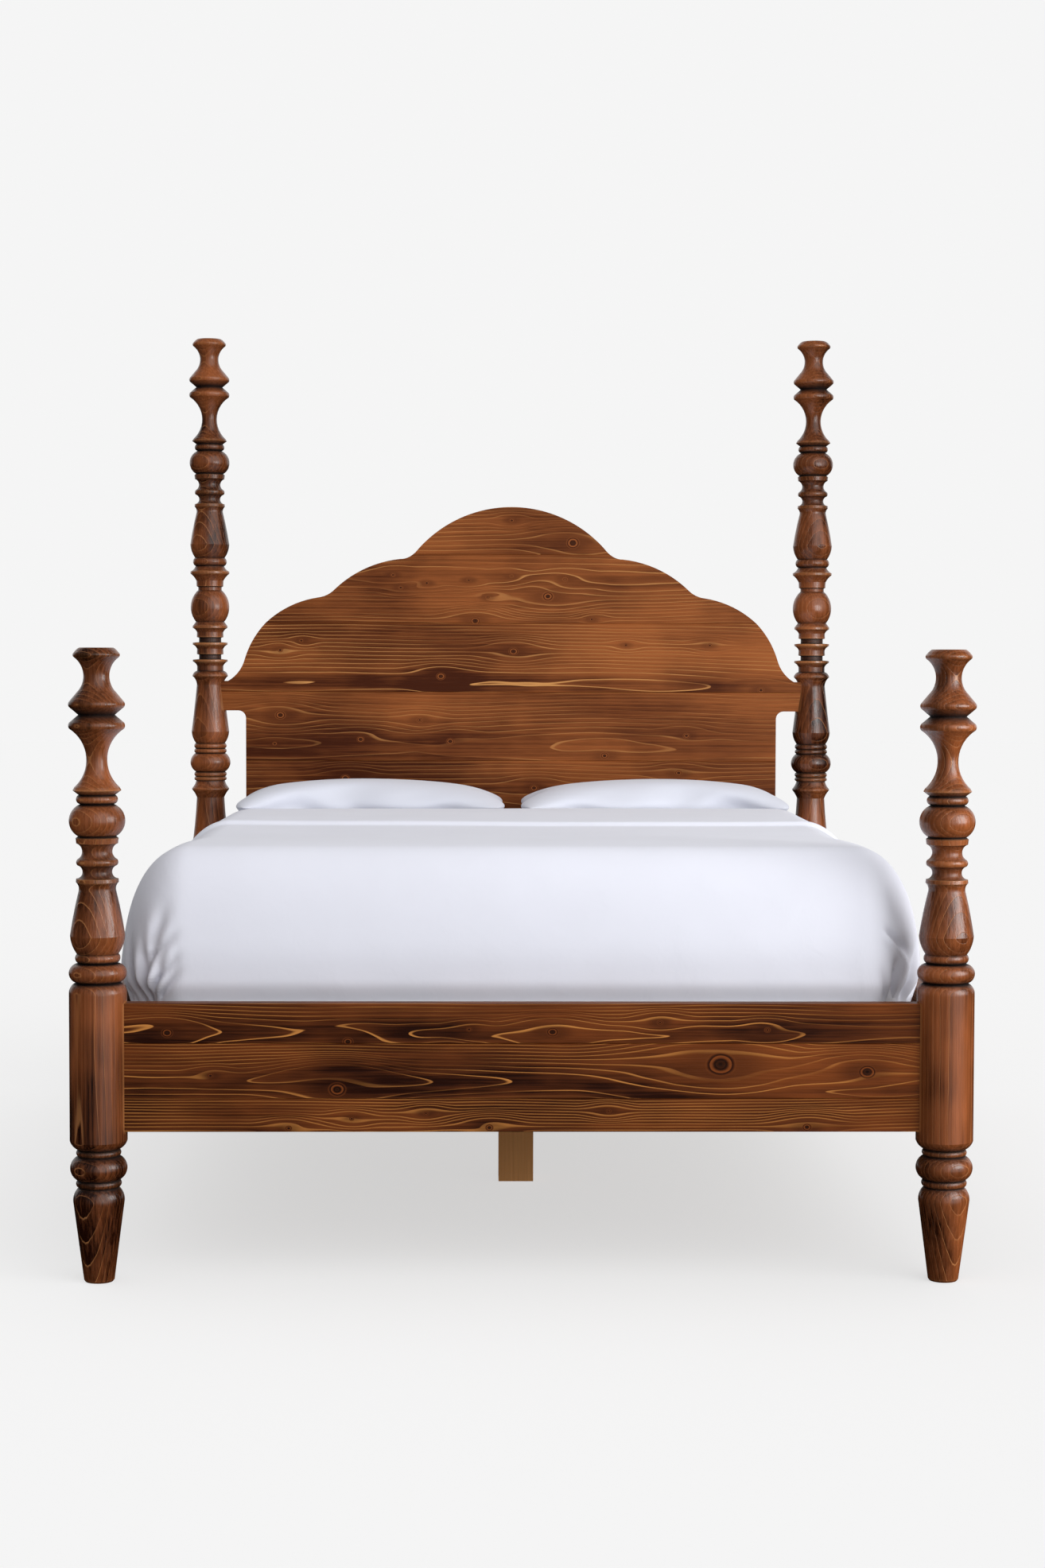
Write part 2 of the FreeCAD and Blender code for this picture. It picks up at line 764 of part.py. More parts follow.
def side_rail(name, side):
    end = f"({half_along} - housing_floor - fit_clearance)"
    middle, up = f"{side} * {half_across}", ("rail_bottom", rail_top)
    outline = rectangle((f"-{end}", end), up)
    tools = [screw_holes(f"{name}_ledger_holes", "ledger_screw_length", ledger_screw_spots(side))]
    for end_side in (-1, 1):
        recess = span(end_side, f"{end} - plate_thickness - fit_clearance", f"{end} + overrun")
        tag = "head" if end_side > 0 else "foot"
        tools.append(
            box(
                f"{name}_{tag}_recess",
                about(middle, "plate_width + 2 * fit_clearance"),
                recess,
                (f"{plate_bottom} - fit_clearance", f"{plate_bottom} + plate_height + fit_clearance"),
            )
        )
        holes = rail_plate_spots(side, end_side)
        tools.append(screw_holes(f"{name}_{tag}_holes", "plate_screw_length", holes))
    return board(name, "YZ_Plane", outline, "rail_thickness", middle, up, tools=tools)


def hook_heights():
    return [f"({plate_bottom} + hook_first_height + {number} * hook_pitch)" for number in range(hook_count)]


def slot_plate(name, side, end):
    """The plate let into the post, with a slot for each hook."""
    middle = f"{side} * {half_across}"
    depth = span(end, f"{half_along} - housing_floor", f"{half_along} - housing_floor + plate_thickness")
    through = span(
        end,
        f"{half_along} - housing_floor - overrun",
        f"{half_along} - housing_floor + plate_thickness + overrun",
    )
    plate = box(
        f"{name}_blank",
        about(middle, "plate_width"),
        depth,
        (plate_bottom, f"{plate_bottom} + plate_height"),
    )
    tools = [
        box(
            f"{name}_slot_{number}",
            about(middle, "hook_thickness + 4 * fit_clearance"),
            through,
            (f"{low} - fit_clearance", f"{low} + hook_neck_height + hook_lip_drop + 4 * fit_clearance"),
        )
        for number, low in enumerate(hook_heights(), start=1)
    ]
    tools.append(screw_holes(f"{name}_holes", "plate_screw_length", post_plate_spots(side, end)))
    return cut(name, plate, tools)


def hook_plate(name, side, end):
    """The plate let into the end of the side rail, with hooks that drop behind the slot plate."""
    middle = f"{side} * {half_across}"

    def depth(near, far):
        return span(end, f"{half_along} - ({far})", f"{half_along} - ({near})")

    face = "housing_floor + fit_clearance"
    behind = "housing_floor - plate_thickness - 2 * fit_clearance"
    pieces = [
        box(
            f"{name}_blank",
            about(middle, "plate_width"),
            depth(face, f"{face} + plate_thickness"),
            (plate_bottom, f"{plate_bottom} + plate_height"),
        )
    ]
    for number, low in enumerate(hook_heights(), start=1):
        neck_up = (low, f"{low} + hook_neck_height")
        lip_up = (f"{low} - hook_lip_drop", f"{low} + hook_neck_height")
        width = about(middle, "hook_thickness")
        pieces.append(box(f"{name}_neck_{number}", width, depth(f"{face} - hook_reach", face), neck_up))
        pieces.append(box(f"{name}_lip_{number}", width, depth(f"{face} - hook_reach", behind), lip_up))
    holes = screw_holes(f"{name}_holes", "plate_screw_length", rail_plate_spots(side, end))
    return cut(name, joined(f"{name}_hooked", pieces), [holes])


corners = [(side, end) for end in (-1, 1) for side in (-1, 1)]


def rail_hardware():
    """Four hook plates, four slot plates and their screws, each kind as one node."""
    slots, hooks, spots = [], [], []
    for side, end in corners:
        tag = f"{'head' if end > 0 else 'foot'}_{'right' if side > 0 else 'left'}"
        slots.append(slot_plate(f"slot_plate_{tag}", side, end))
        hooks.append(hook_plate(f"hook_plate_{tag}", side, end))
        spots += post_plate_spots(side, end) + rail_plate_spots(side, end)
    groups = {}
    for name, plates in (("post_slot_plates", slots), ("rail_hook_plates", hooks)):
        groups[name] = doc.addObject("Part::Compound", name)
        groups[name].Links = plates
    groups["plate_screws"] = screws("plate_screws", "plate_screw_length", spots)
    return groups


# Slats and their support

def ledger(name, side):
    blank = box(
        f"{name}_blank",
        span(side, f"{rail_face_across} - ledger_width", rail_face_across),
        (f"-{ledger_end}", ledger_end),
        (ledger_bottom, slat_bottom),
    )
    slat_spots = [slat_screw_spots(side, index)[0] for index in range(slat_count)]
    tools = [
        screw_holes(f"{name}_rail_holes", "ledger_screw_length", ledger_screw_spots(side)),
        screw_holes(f"{name}_slat_holes", "slat_screw_length", slat_spots),
    ]
    return cut(name, blank, tools)


def slats():
    pieces = {}
    spots = []
    for index in range(slat_count):
        name = f"slat_{index + 1:02d}"
        blank = box(
            f"{name}_blank",
            about("0", f"2 * ({rail_face_across} - slat_gap)"),
            about(slat_place(index), "slat_width"),
            (slat_bottom, slat_level),
        )
        own = slat_screw_spots(-1, index) + slat_screw_spots(1, index)
        spots += own
        pieces[name] = cut(name, blank, [screw_holes(f"{name}_holes", "slat_screw_length", own)])
    pieces["slat_screws"] = screws("slat_screws", "slat_screw_length", spots)
    return pieces


def ledgers():
    pieces = {name: ledger(name, side) for name, side in (("slat_ledger_left", -1), ("slat_ledger_right", 1))}
    spots = ledger_screw_spots(-1) + ledger_screw_spots(1)
    pieces["ledger_screws"] = screws("ledger_screws", "ledger_screw_length", spots)
    return pieces


def beam_hanger(name, end):
    """A steel pocket on the inside of a cross rail, with a screwed flange each side of the beam."""
    wrap = about("0", "beam_width + 2 * fit_clearance + 2 * hanger_thickness")
    up = (f"{beam_bottom} - hanger_thickness", slat_bottom)
    depth = span(end, f"{rail_face_along} - hanger_depth", rail_face_along)
    flange_depth = span(end, f"{rail_face_along} - hanger_thickness", rail_face_along)
    room = span(end, f"{rail_face_along} - hanger_depth - overrun", f"{rail_face_along} - hanger_thickness")
    pocket = box(f"{name}_pocket", wrap, depth, up)
    inside = box(
        f"{name}_inside",
        about("0", "beam_width + 2 * fit_clearance"),
        room,
        (beam_bottom, f"{slat_bottom} + overrun"),
    )
    flange = box(f"{name}_flange", about("0", "hanger_flange_width"), flange_depth, up)
    folded = joined(f"{name}_folded", [cut(f"{name}_channel", pocket, [inside]), flange])
    holes = screw_holes(f"{name}_holes", "hanger_screw_length", hanger_screw_spots(end))
    return cut(name, folded, [holes])


def bolt_axis(piece, start):
    """Lay a round or six-sided piece along +X at the height of the leg's bolt."""
    piece.Placement.Rotation = Rotation(Vector(0, 1, 0), 90)
    piece.setExpression("Placement.Base.x", formula(start))
    piece.setExpression("Placement.Base.y", formula("-leg_offset"))
    piece.setExpression("Placement.Base.z", formula(f"{beam_bottom} + bridle_depth / 2"))
    return piece


def rod(name, radius, start, end):
    piece = doc.addObject("Part::Cylinder", name)
    piece.setExpression("Radius", formula(radius))
    piece.setExpression("Height", formula(f"({end}) - ({start})"))
    return bolt_axis(piece, start)


def hexagon(name, start, height):
    piece = doc.addObject("Part::Prism", name)
    piece.Polygon = 6
    piece.setExpression("Circumradius", formula("bolt_head_radius"))
    piece.setExpression("Height", formula(height))
    return bolt_axis(piece, start)


def centre_support():
    """The beam in its hangers, the bridled leg under its middle, and the bolt through both."""
    face = "(leg_width / 2)"
    bore = ("bolt_radius + fit_clearance", f"-{face} - overrun", f"{face} + overrun")
    beam_along = (f"-{beam_end}", beam_end)
    beam = box("centre_beam_blank", about("0", "beam_width"), beam_along, (beam_bottom, slat_bottom))
    leg_along = about("-leg_offset", "leg_width")
    leg = box("centre_leg_blank", about("0", "leg_width"), leg_along, ("0", f"{beam_bottom} + bridle_depth"))
    bridle = box(
        "centre_leg_bridle",
        about("0", "beam_width + 2 * fit_clearance"),
        about("-leg_offset", "leg_width + 2 * overrun"),
        (beam_bottom, f"{beam_bottom} + bridle_depth + overrun"),
    )
    shank = rod("leg_bolt_shank", "bolt_radius", f"-{face}", f"{face} + nut_height + bolt_radius")
    head = hexagon("leg_bolt_head", f"-{face} - bolt_head_height", "bolt_head_height")
    nut_bore = rod("leg_nut_bore", bore[0], f"{face} - overrun", f"{face} + nut_height + overrun")
    hangers = doc.addObject("Part::Compound", "beam_hangers")
    hangers.Links = [beam_hanger("beam_hanger_foot", -1), beam_hanger("beam_hanger_head", 1)]
    spots = hanger_screw_spots(-1) + hanger_screw_spots(1)
    return {
        "centre_beam": cut("centre_beam", beam, [rod("centre_beam_bore", *bore)]),
        "centre_leg": cut("centre_leg", leg, [bridle, rod("centre_leg_bore", *bore)]),
        "leg_bolt": joined("leg_bolt", [shank, head]),
        "leg_nut": cut("leg_nut", hexagon("leg_nut_blank", face, "nut_height"), [nut_bore]),
        "beam_hangers": hangers,
        "hanger_screws": screws("hanger_screws", "hanger_screw_length", spots),
    }


# Bedding

def rounded_outline(across, along_bed, radius):
    """A rectangle with round corners, given by its two intervals."""
    (left, right), (foot, head) = across, along_bed
    inset = f"{arc_middle_share} * ({radius})"

    def corner(x, y, x_in, y_in):
        via = (f"{x} {x_in} {inset}", f"{y} {y_in} {inset}")
        return via, f"{x} {x_in} ({radius})", f"{y} {y_in} ({radius})"

    points = []
    for x, y, x_in, y_in, turn in (
        (right, foot, "-", "+", True),
        (right, head, "-", "-", False),
        (left, head, "+", "-", True),
        (left, foot, "+", "+", False),
    ):
        via, x_start, y_start = corner(x, y, x_in, y_in)
        on_end, on_side = (x_start, y), (x, y_start)
        first, second = (on_end, on_side) if turn else (on_side, on_end)
        points += [(*first, None), (*second, via)]
    return points


def rounded_block(name, across, along_bed, up, radius, edge_radius):
    """A block with round corners in plan and rolled edges above and below."""
    body = doc.addObject("PartDesign::Body", name)
    plan = sketch_on(body, f"{name}_plan", "XY_Plane", up[0])
    draw(plan, rounded_outline(across, along_bed, radius))
    pad = body.newObject("PartDesign::Pad", f"{name}_pad")
    pad.Profile = plan
    pad.setExpression("Length", formula(f"({up[1]}) - ({up[0]})"))
    doc.recompute()
    rolled = [
        f"Edge{number}"
        for number, edge in enumerate(pad.Shape.Edges, start=1)
        if edge.BoundBox.ZLength < value("fit_clearance")
    ]
    fillet = body.newObject("PartDesign::Fillet", f"{name}_rolled")
    fillet.Base = (pad, rolled)
    fillet.setExpression("Radius", formula(edge_radius))
    return body


def mattress_block(name, spare, up):
    """The mattress's own form, grown all round by some spare room."""
    return rounded_block(
        name,
        about("0", f"mattress_width + 2 * ({spare})"),
        about("0", f"mattress_length + 2 * ({spare})"),
        up,
        f"mattress_corner_radius + {spare}",
        f"mattress_edge_radius + {spare}",
    )


def fitted_sheet():
    low, skin = f"{slat_level} - mattress_edge_radius", "(soft_clearance + sheet_thickness)"
    inside_up = (low, f"{mattress_top} + soft_clearance")
    inside = mattress_block("fitted_sheet_inside", "soft_clearance", inside_up)
    outside = mattress_block("fitted_sheet_outside", skin, (low, sheet_top))
    below = box(
        "fitted_sheet_below",
        about("0", "mattress_width + mattress_corner_radius"),
        about("0", "mattress_length + mattress_corner_radius"),
        (f"{slat_level} - 2 * mattress_edge_radius", f"{slat_level} + sheet_hem_height"),
    )
    return cut("fitted_sheet", outside, [inside, below])


# Levels of the duvet: height as a share of its drop, inset as a share of its rounding, spread of the folds
duvet_level_shares = [
    (0.000, 0.00, 0.00),
    (0.330, 0.00, 0.25),
    (0.645, 0.00, 0.60),
    (0.787, 0.08, 0.80),
    (0.894, 0.28, 0.90),
    (0.965, 0.56, 1.00),
    (1.000, 1.00, 1.00),
]
foot_fold_count = 4
side_fold_count = 3


def duvet_outline(inset, spread):
    """One level of the duvet: folds fan out on both sides of each foot corner as the level rises."""
    half = f"({duvet_half} - {inset} * duvet_edge_round)"
    foot = f"({duvet_foot} - {inset} * duvet_edge_round)"
    pitch = f"(fold_pitch_low + {spread} * (fold_pitch_high - fold_pitch_low))"
    swell = f"fold_depth * (1 - {spread} / 2)"
    arc = f"{arc_middle_share} * duvet_corner_radius"
    points = []
    for number in range(foot_fold_count, -1, -1):
        across = f"{half} - duvet_corner_radius - {number} * {pitch}"
        via = (f"{across} - {pitch} / 2", f"-{foot} - {swell}") if number < foot_fold_count else None
        points.append((across, f"-{foot}", via))
    for number in range(side_fold_count + 1):
        place = f"-{foot} + duvet_corner_radius + {number} * {pitch}"
        via = (f"{half} + {swell}", f"{place} - {pitch} / 2")
        if number == 0:
            via = (f"{half} - {arc}", f"-{foot} + {arc}")
        points.append((half, place, via))
    points.append((half, duvet_head, None))
    return both_sides(points)


def turned_band():
    """The head of the duvet turned back on itself, a second layer over the top and down both sides."""
    half = f"({duvet_half} + turned_band_swell)"
    hem, top = f"{rail_top} + turned_band_hem", f"({duvet_top} + turned_band_rise)"
    arc = f"{arc_middle_share} * duvet_edge_round"
    right = [
        (half, hem, None),
        (half, f"{top} - duvet_edge_round", None),
        (f"{half} - duvet_edge_round", top, (f"{half} - {arc}", f"{top} - {arc}")),
    ]
    body = doc.addObject("PartDesign::Body", "duvet_turned_band")
    section = sketch_on(body, "duvet_turned_band_section", "XZ_Plane", f"-{duvet_head}")
    draw(section, both_sides(right))
    pad = body.newObject("PartDesign::Pad", "duvet_turned_band_pad")
    pad.Profile = section
    pad.setExpression("Length", formula("turned_band_length"))
    doc.recompute()
    rolled = [
        f"Edge{number}"
        for number, edge in enumerate(pad.Shape.Edges, start=1)
        if edge.BoundBox.YLength < value("fit_clearance") < edge.BoundBox.ZLength
        or edge.BoundBox.ZMin > value(duvet_top)
    ]
    fillet = body.newObject("PartDesign::Fillet", "duvet_turned_band_rolled")
    fillet.Base = (pad, rolled)
    fillet.setExpression("Radius", formula("turned_band_round"))
    return body


def duvet():
    body = doc.addObject("PartDesign::Body", "duvet_form")
    levels = []
    for number, (share, inset, spread) in enumerate(duvet_level_shares, start=1):
        height = f"{duvet_bottom} + {share} * ({duvet_top} - {duvet_bottom})"
        level = sketch_on(body, f"duvet_level_{number}", "XY_Plane", height)
        draw(level, duvet_outline(inset, spread))
        levels.append(level)
    loft = body.newObject("PartDesign::AdditiveLoft", "duvet_loft")
    loft.Profile = levels[0]
    loft.Sections = levels[1:]
    room = "(2 * soft_clearance + sheet_thickness)"
    inside = mattress_block(
        "duvet_inside", room, (f"{slat_level} - mattress_edge_radius", f"{sheet_top} + soft_clearance")
    )
    return cut("duvet", joined("duvet_whole", [body, turned_band()]), [inside])


# Sections of a pillow from end to end: place, thickness and depth as shares of its sizes
pillow_section_shares = [
    (-0.500, 0.07, 0.98),
    (-0.455, 0.40, 0.99),
    (-0.330, 0.84, 0.97),
    (-0.140, 1.00, 0.95),
    (0.140, 1.00, 0.95),
    (0.330, 0.84, 0.97),
    (0.455, 0.40, 0.99),
    (0.500, 0.07, 0.98),
]
pillow_under_share = 0.24


def pillow(name, side):
    """A plump pillow: a crown over a flatter underside, thin ends and sides drawn in between its corners."""
    body = doc.addObject("PartDesign::Body", name)
    bed = f"({sheet_top} + soft_clearance)"
    middle_along = "(mattress_length / 2 - pillow_head_gap - pillow_depth / 2)"
    middle_across = f"{side} * (pillow_gap + {pillow_length}) / 2"
    sections = []
    for number, (place, plump, deep) in enumerate(pillow_section_shares, start=1):
        under = f"({pillow_under_share} * {plump} * pillow_rise)"
        seam = f"({bed} + {under})"
        front, back = about(middle_along, f"{deep} * pillow_depth")
        crown = (middle_along, f"{bed} + {plump} * pillow_rise")
        keel = (middle_along, bed)
        offset = f"{middle_across} + {place} * {pillow_length}"
        section = sketch_on(body, f"{name}_section_{number}", "YZ_Plane", offset)
        draw(section, [(front, seam, keel), (back, seam, crown)])
        sections.append(section)
    loft = body.newObject("PartDesign::AdditiveLoft", f"{name}_loft")
    loft.Profile = sections[0]
    loft.Sections = sections[1:]
    return body


# The whole bed

def bed():
    pieces = {}
    for side, end in corners:
        name = f"{'head' if end > 0 else 'foot'}_post_{'right' if side > 0 else 'left'}"
        pieces[name] = post(name, side, end)
    pieces.update(cross_rail("foot_rail", -1, rail_top))
    pieces.update(cross_rail("head_rail", 1, head_rail_top))
    pieces.update(headboard())
    pieces["side_rail_left"] = side_rail("side_rail_left", -1)
    pieces["side_rail_right"] = side_rail("side_rail_right", 1)
    pieces.update(rail_hardware())
    pieces.update(ledgers())
    pieces.update(slats())
    pieces.update(centre_support())
    pieces["mattress"] = mattress_block("mattress", "0", (slat_level, mattress_top))
    pieces["fitted_sheet"] = fitted_sheet()
    pieces["duvet"] = duvet()
    pieces["pillow_left"] = pillow("pillow_left", -1)
    pieces["pillow_right"] = pillow("pillow_right", 1)
    return pieces


def export(pieces):
    """Stop at anything that failed to build, then write one file for each piece."""
    failed = [item.Name for item in doc.Objects if "Invalid" in item.State or "Error" in item.State]
    broken = [name for name, piece in pieces.items() if piece.Shape.isNull() or not piece.Shape.isValid()]
    if failed or broken:
        raise RuntimeError(f"failed: {failed}, not valid: {broken}")
    os.makedirs("parts", exist_ok=True)
    for name, piece in pieces.items():
        piece.Label = name
        piece.Shape.exportStep(f"parts/{name}.step")


pieces = bed()
doc.recompute()
export(pieces)
print(len(pieces), "pieces written")
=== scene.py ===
import math

import bpy
import numpy as np
from mathutils import Matrix, Vector


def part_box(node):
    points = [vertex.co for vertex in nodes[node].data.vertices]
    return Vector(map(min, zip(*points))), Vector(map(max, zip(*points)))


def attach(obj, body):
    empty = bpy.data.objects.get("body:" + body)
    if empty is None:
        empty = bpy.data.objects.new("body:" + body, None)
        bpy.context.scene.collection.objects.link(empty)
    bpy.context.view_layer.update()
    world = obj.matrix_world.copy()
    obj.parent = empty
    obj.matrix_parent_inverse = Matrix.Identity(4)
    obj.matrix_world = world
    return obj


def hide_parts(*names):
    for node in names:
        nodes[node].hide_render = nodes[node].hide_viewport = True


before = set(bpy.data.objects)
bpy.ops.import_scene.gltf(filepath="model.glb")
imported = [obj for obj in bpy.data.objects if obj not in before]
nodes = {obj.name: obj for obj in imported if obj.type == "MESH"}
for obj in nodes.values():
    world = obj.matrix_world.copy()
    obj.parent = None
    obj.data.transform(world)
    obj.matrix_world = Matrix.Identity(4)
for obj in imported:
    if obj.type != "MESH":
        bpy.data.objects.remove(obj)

scene = bpy.context.scene
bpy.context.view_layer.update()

# Camera, fitted to the photograph: place in metres, turns in degrees, focal length in its pixels
shot = {"place": (-0.0770, -6.0692, 1.1730), "yaw": -0.861, "pitch": -2.763, "roll": -0.136,
        "focal": 3403.7, "longSide": 1972, "sensor": 36}


def addCamera(d):
    lens = bpy.data.cameras.new("camera")
    lens.sensor_width = d["sensor"]
    lens.lens = d["focal"] * lens.sensor_width / d["longSide"]
    camera = bpy.data.objects.new("camera", lens)
    scene.collection.objects.link(camera)
    turn = Matrix.Identity(3)
    for angle, axis in (("yaw", "Z"), ("pitch", "X"), ("roll", "Y")):
        turn = turn @ Matrix.Rotation(math.radians(d[angle]), 3, axis)
    right, forward, up = (turn.col[i] for i in range(3))
    camera.matrix_world = Matrix.Translation(d["place"]) @ Matrix((right, up, -forward)).transposed().to_4x4()
    scene.camera = camera


addCamera(shot)
print("camera set")


# Shader wiring: a wire is an output that can be reckoned with like a number

class Wire:
    def __init__(self, paint, socket):
        self.paint, self.socket = paint, socket

    def math(self, operation, *others):
        return self.paint.node("Math", (self, *others), operation=operation)

    def __add__(self, other):
        return self.math("ADD", other)

    def __sub__(self, other):
        return self.math("SUBTRACT", other)

    def __mul__(self, other):
        return self.math("MULTIPLY", other)

    def __truediv__(self, other):
        return self.math("DIVIDE", other)

    def __rsub__(self, other):
        return self.paint.node("Math", (other, self), operation="SUBTRACT")

    __radd__, __rmul__ = __add__, __mul__

    def ease(self, low, high, start=0, end=1):
        return self.paint.node("MapRange", (self, low, high, start, end), interpolation_type="SMOOTHSTEP")

    def clamp(self):
        return self.paint.node("Clamp", (self,))


class Paint:
    def __init__(self, tree):
        self.tree = tree

    def node(self, kind, inputs=(), output=0, **settings):
        node = self.tree.nodes.new("ShaderNode" + kind)
        for name, value in settings.items():
            setattr(node, name, value)
        for socket, value in inputs.items() if isinstance(inputs, dict) else enumerate(inputs):
            self.feed(node.inputs[socket], value)
        return Wire(self, node.outputs[output]) if output is not None else node

    def feed(self, socket, value):
        if isinstance(value, Wire):
            self.tree.links.new(value.socket, socket)
        else:
            socket.default_value = value

    def mix(self, factor, first, second):
        colours = [value if isinstance(value, Wire) else (*value, 1) for value in (first, second)]
        return self.node("Mix", {0: factor, 6: colours[0], 7: colours[1]}, 2, data_type="RGBA")

    def noise(self, x, y, z, detail=2, rough=0.5):
        vector = self.node("CombineXYZ", (x, y, z))
        return self.node("TexNoise", {"Vector": vector, "Scale": 1, "Detail": detail, "Roughness": rough})

    def place(self, kind="Object", axes="XYZ"):
        vector = self.node("TexCoord", output=kind)
        return [self.node("SeparateXYZ", (vector,), axis) for axis in axes]


class Surface(Paint):
    def __init__(self, name, **constants):
        self.material = bpy.data.materials.new(name)
        self.material.use_nodes = True
        super().__init__(self.material.node_tree)
        self.set(**constants)

    def set(self, **inputs):
        for socket, value in inputs.items():
            self.feed(self.tree.nodes["Principled BSDF"].inputs[socket.replace("_", " ")], value)

    def bump(self, height, distance, strength=1.0):
        inputs = {"Strength": strength, "Distance": distance, "Height": height}
        self.set(Normal=self.node("Bump", inputs, "Normal"))


# Stained pine: thin bright growth lines over dark streaked wood, loose where the face is sawn flat to the rings
# and close where it isn't, pushed aside by knots
pine = {
    "relief": 0.0005,  # height of the grain
    "bend": 5.5, "push": 0.9, "lean": 0.4, "oval": 0.8, "ragged": 0.9,  # how a knot moves the rings, and its outline
    "fibre": 0.3, "drawn": 0.985, "thin": 0.25,  # strength of the fibres, end of a growth line, its least width
    "glazeRough": 0.4, "wornShare": 0.5, "strayRough": 0.12, "rays": 8,
    # turns per metre along and across the grain, then detail and roughness, of each uneven pattern in the wood
    "patterns": {"drift": (0.8, 0.5, 2, 0.5), "sink": (1.1, 0.5, 1, 0.5), "swirl": (1.5, 11, 3, 0.45),
                 "cloud": (1.6, 8, 4, 0.55), "rubbed": (2.6, 4, 3, 0.55), "streak": (2.4, 190, 4, 0.6),
                 "fibre": (25, 700, 1, 0.5), "faint": (2.3, 20, 2, 0.5)},
}


def pineMaterial(name, look):
    paint = Surface(name, Specular_IOR_Level=look["gloss"])
    x, y, z = (axis - centre for axis, centre in zip(paint.place(), look.get("centre", (0, 0, 0))))
    along, across, depth = {"x": (x, z, y), "y": (y, z, x), "z": (z, x, y)}[look["grain"]]
    seed = look["seed"]

    def pattern(kind, *shifts):
        lengthwise, crosswise, detail, rough = pine["patterns"][kind]
        spots = [along * lengthwise, across * crosswise, depth * crosswise]
        for i, shift in enumerate(shifts):
            spots[i] = spots[i] + shift if shift else spots[i]
        return paint.noise(*spots, detail, rough)

    drift, sink = pattern("drift", seed), pattern("sink", seed * 2.3, 0, 7)
    swirl, fibre = pattern("swirl", seed), pattern("fibre")
    cloud = pattern("cloud", seed).ease(0.36, 0.64)
    rubbed = pattern("rubbed", 0, seed).ease(0.38, 0.62)
    streak = pattern("streak", 0, seed).ease(0.34, 0.66)
    faint = pattern("faint", 0, seed).ease(0.34, 0.58)

    # distance from the heart of the log, with the rings led round each knot
    up = across - look["heart"][0] - (drift - 0.5) * look["drift"]
    deep = depth - look["heart"][1] - (sink - 0.5) * look["sink"]
    knots = []
    for start, height, size in look.get("knots", ()):
        run, rise = along - start, across - height
        ragged = (swirl - 0.5) * pine["ragged"]
        bent = ((run * pine["lean"]).math("POWER", 2) + rise * rise).math("SQRT") / size
        near = ((run * pine["oval"]).math("POWER", 2) + rise * rise).math("SQRT") / size
        up = up - rise * bent.ease(0.8, pine["bend"], pine["push"], 0)
        knots.append((near + ragged, bent + ragged))
    radius = (up * up + deep * deep).math("SQRT")
    slope = up.math("ABSOLUTE") / radius
    flat = slope.ease(0.15, 0.9, 1, 0)  # 1 where the face lies along the rings

    phase = (radius / look["spacing"] + (swirl - 0.5) * look["flow"]).math("FRACT")
    width = (slope * (1 - pine["thin"]) + pine["thin"]) * (look["lineWidth"] / look["spacing"])
    line = ((phase - 1 + width) / width).ease(0.0, 0.6) * phase.ease(pine["drawn"], 1.0, 1, 0)
    tone = cloud * look["cloud"] + streak * look["streak"]
    tone = tone + (fibre - 0.5) * pine["fibre"] + (phase - 0.5) * look["band"]
    # painted light: along * fade makes each cross board lighter toward its right end, where the light is stronger
    tone = tone + rubbed * look["rubbed"] + along * look["fade"] - flat * look["shade"] + look["level"]
    colour = paint.mix(tone.clamp(), look["dark"], look["mid"])
    glint = line * (faint * 0.85 + 0.15) * (flat * 0.4 + 0.6) * look["strength"]
    colour = paint.mix(glint.clamp(), colour, look["line"])
    for reach, stain in knots:
        colour = paint.mix(stain.ease(0.7, 2.2, 0.5, 0) * (streak * 0.5 + 0.5), colour, look["dark"])
        eye = paint.mix((reach * 2.4 + swirl).math("FRACT").ease(0.2, 0.8), look["dark"], look["eye"])
        colour = paint.mix(reach.ease(0.75, 1.05, 0.85, 0), colour, eye)
        colour = paint.mix(reach.ease(0.2, 0.5, 0.85, 0), colour, look["core"])
    roughness = (streak - 0.5) * pine["strayRough"] + look["roughness"]
    if "glazeAndShade" in look:  # stain gathers in the grooves, along with painted shade from the occlusion, and wears off the lips
        nearby = {"samples": pine["rays"], "only_local": True}
        # painted shade: the occlusion darkens the grooves toward the dark core colour, on top of the stain there
        grooveShade = paint.node("AmbientOcclusion", {"Distance": look["glazeAndShade"]}, "AO", **nearby).ease(0.5, 1.0, 1, 0)
        colour = paint.mix(grooveShade, colour, look["core"])
        roughness = roughness + grooveShade * pine["glazeRough"]
        lip = paint.node("AmbientOcclusion", {"Distance": look["wear"]}, "AO", inside=True, **nearby)
        worn = lip.ease(0.5, 0.85, pine["wornShare"], 0) * (rubbed * 0.6 + 0.4)
        colour = paint.mix(worn, colour, look["line"])
    paint.set(Base_Color=colour, Roughness=roughness)
    paint.bump(streak * 0.4 + line * 0.3 + fibre * 0.3, pine["relief"])
    return paint.material


def dress(material, *names):
    for name in names:
        mesh = nodes[name].data
        mesh.materials.clear()
        mesh.materials.append(material)


# Colours of the stain on each kind of board, in linear light
tones = {
    "panel": {"dark": (0.054, 0.0105, 0.0018), "mid": (0.335, 0.099, 0.0250), "line": (0.58, 0.27, 0.085)},
    "rail": {"dark": (0.017, 0.0027, 0.0003), "mid": (0.200, 0.050, 0.0100), "line": (0.52, 0.21, 0.050)},
    "post": {"dark": (0.017, 0.0032, 0.0007), "mid": (0.345, 0.098, 0.0280), "line": (0.56, 0.24, 0.085)},
    "plain": {"dark": (0.48, 0.215, 0.072), "mid": (0.76, 0.390, 0.145), "line": (0.34, 0.135, 0.042)},
}
for tone in tones.values():
    # core: the dark at a knot's heart, also used as the painted shade in the posts' grooves
    tone["core"] = tuple(c * 0.4 for c in tone["dark"])
    tone["eye"] = tuple(c * 0.95 for c in tone["mid"])
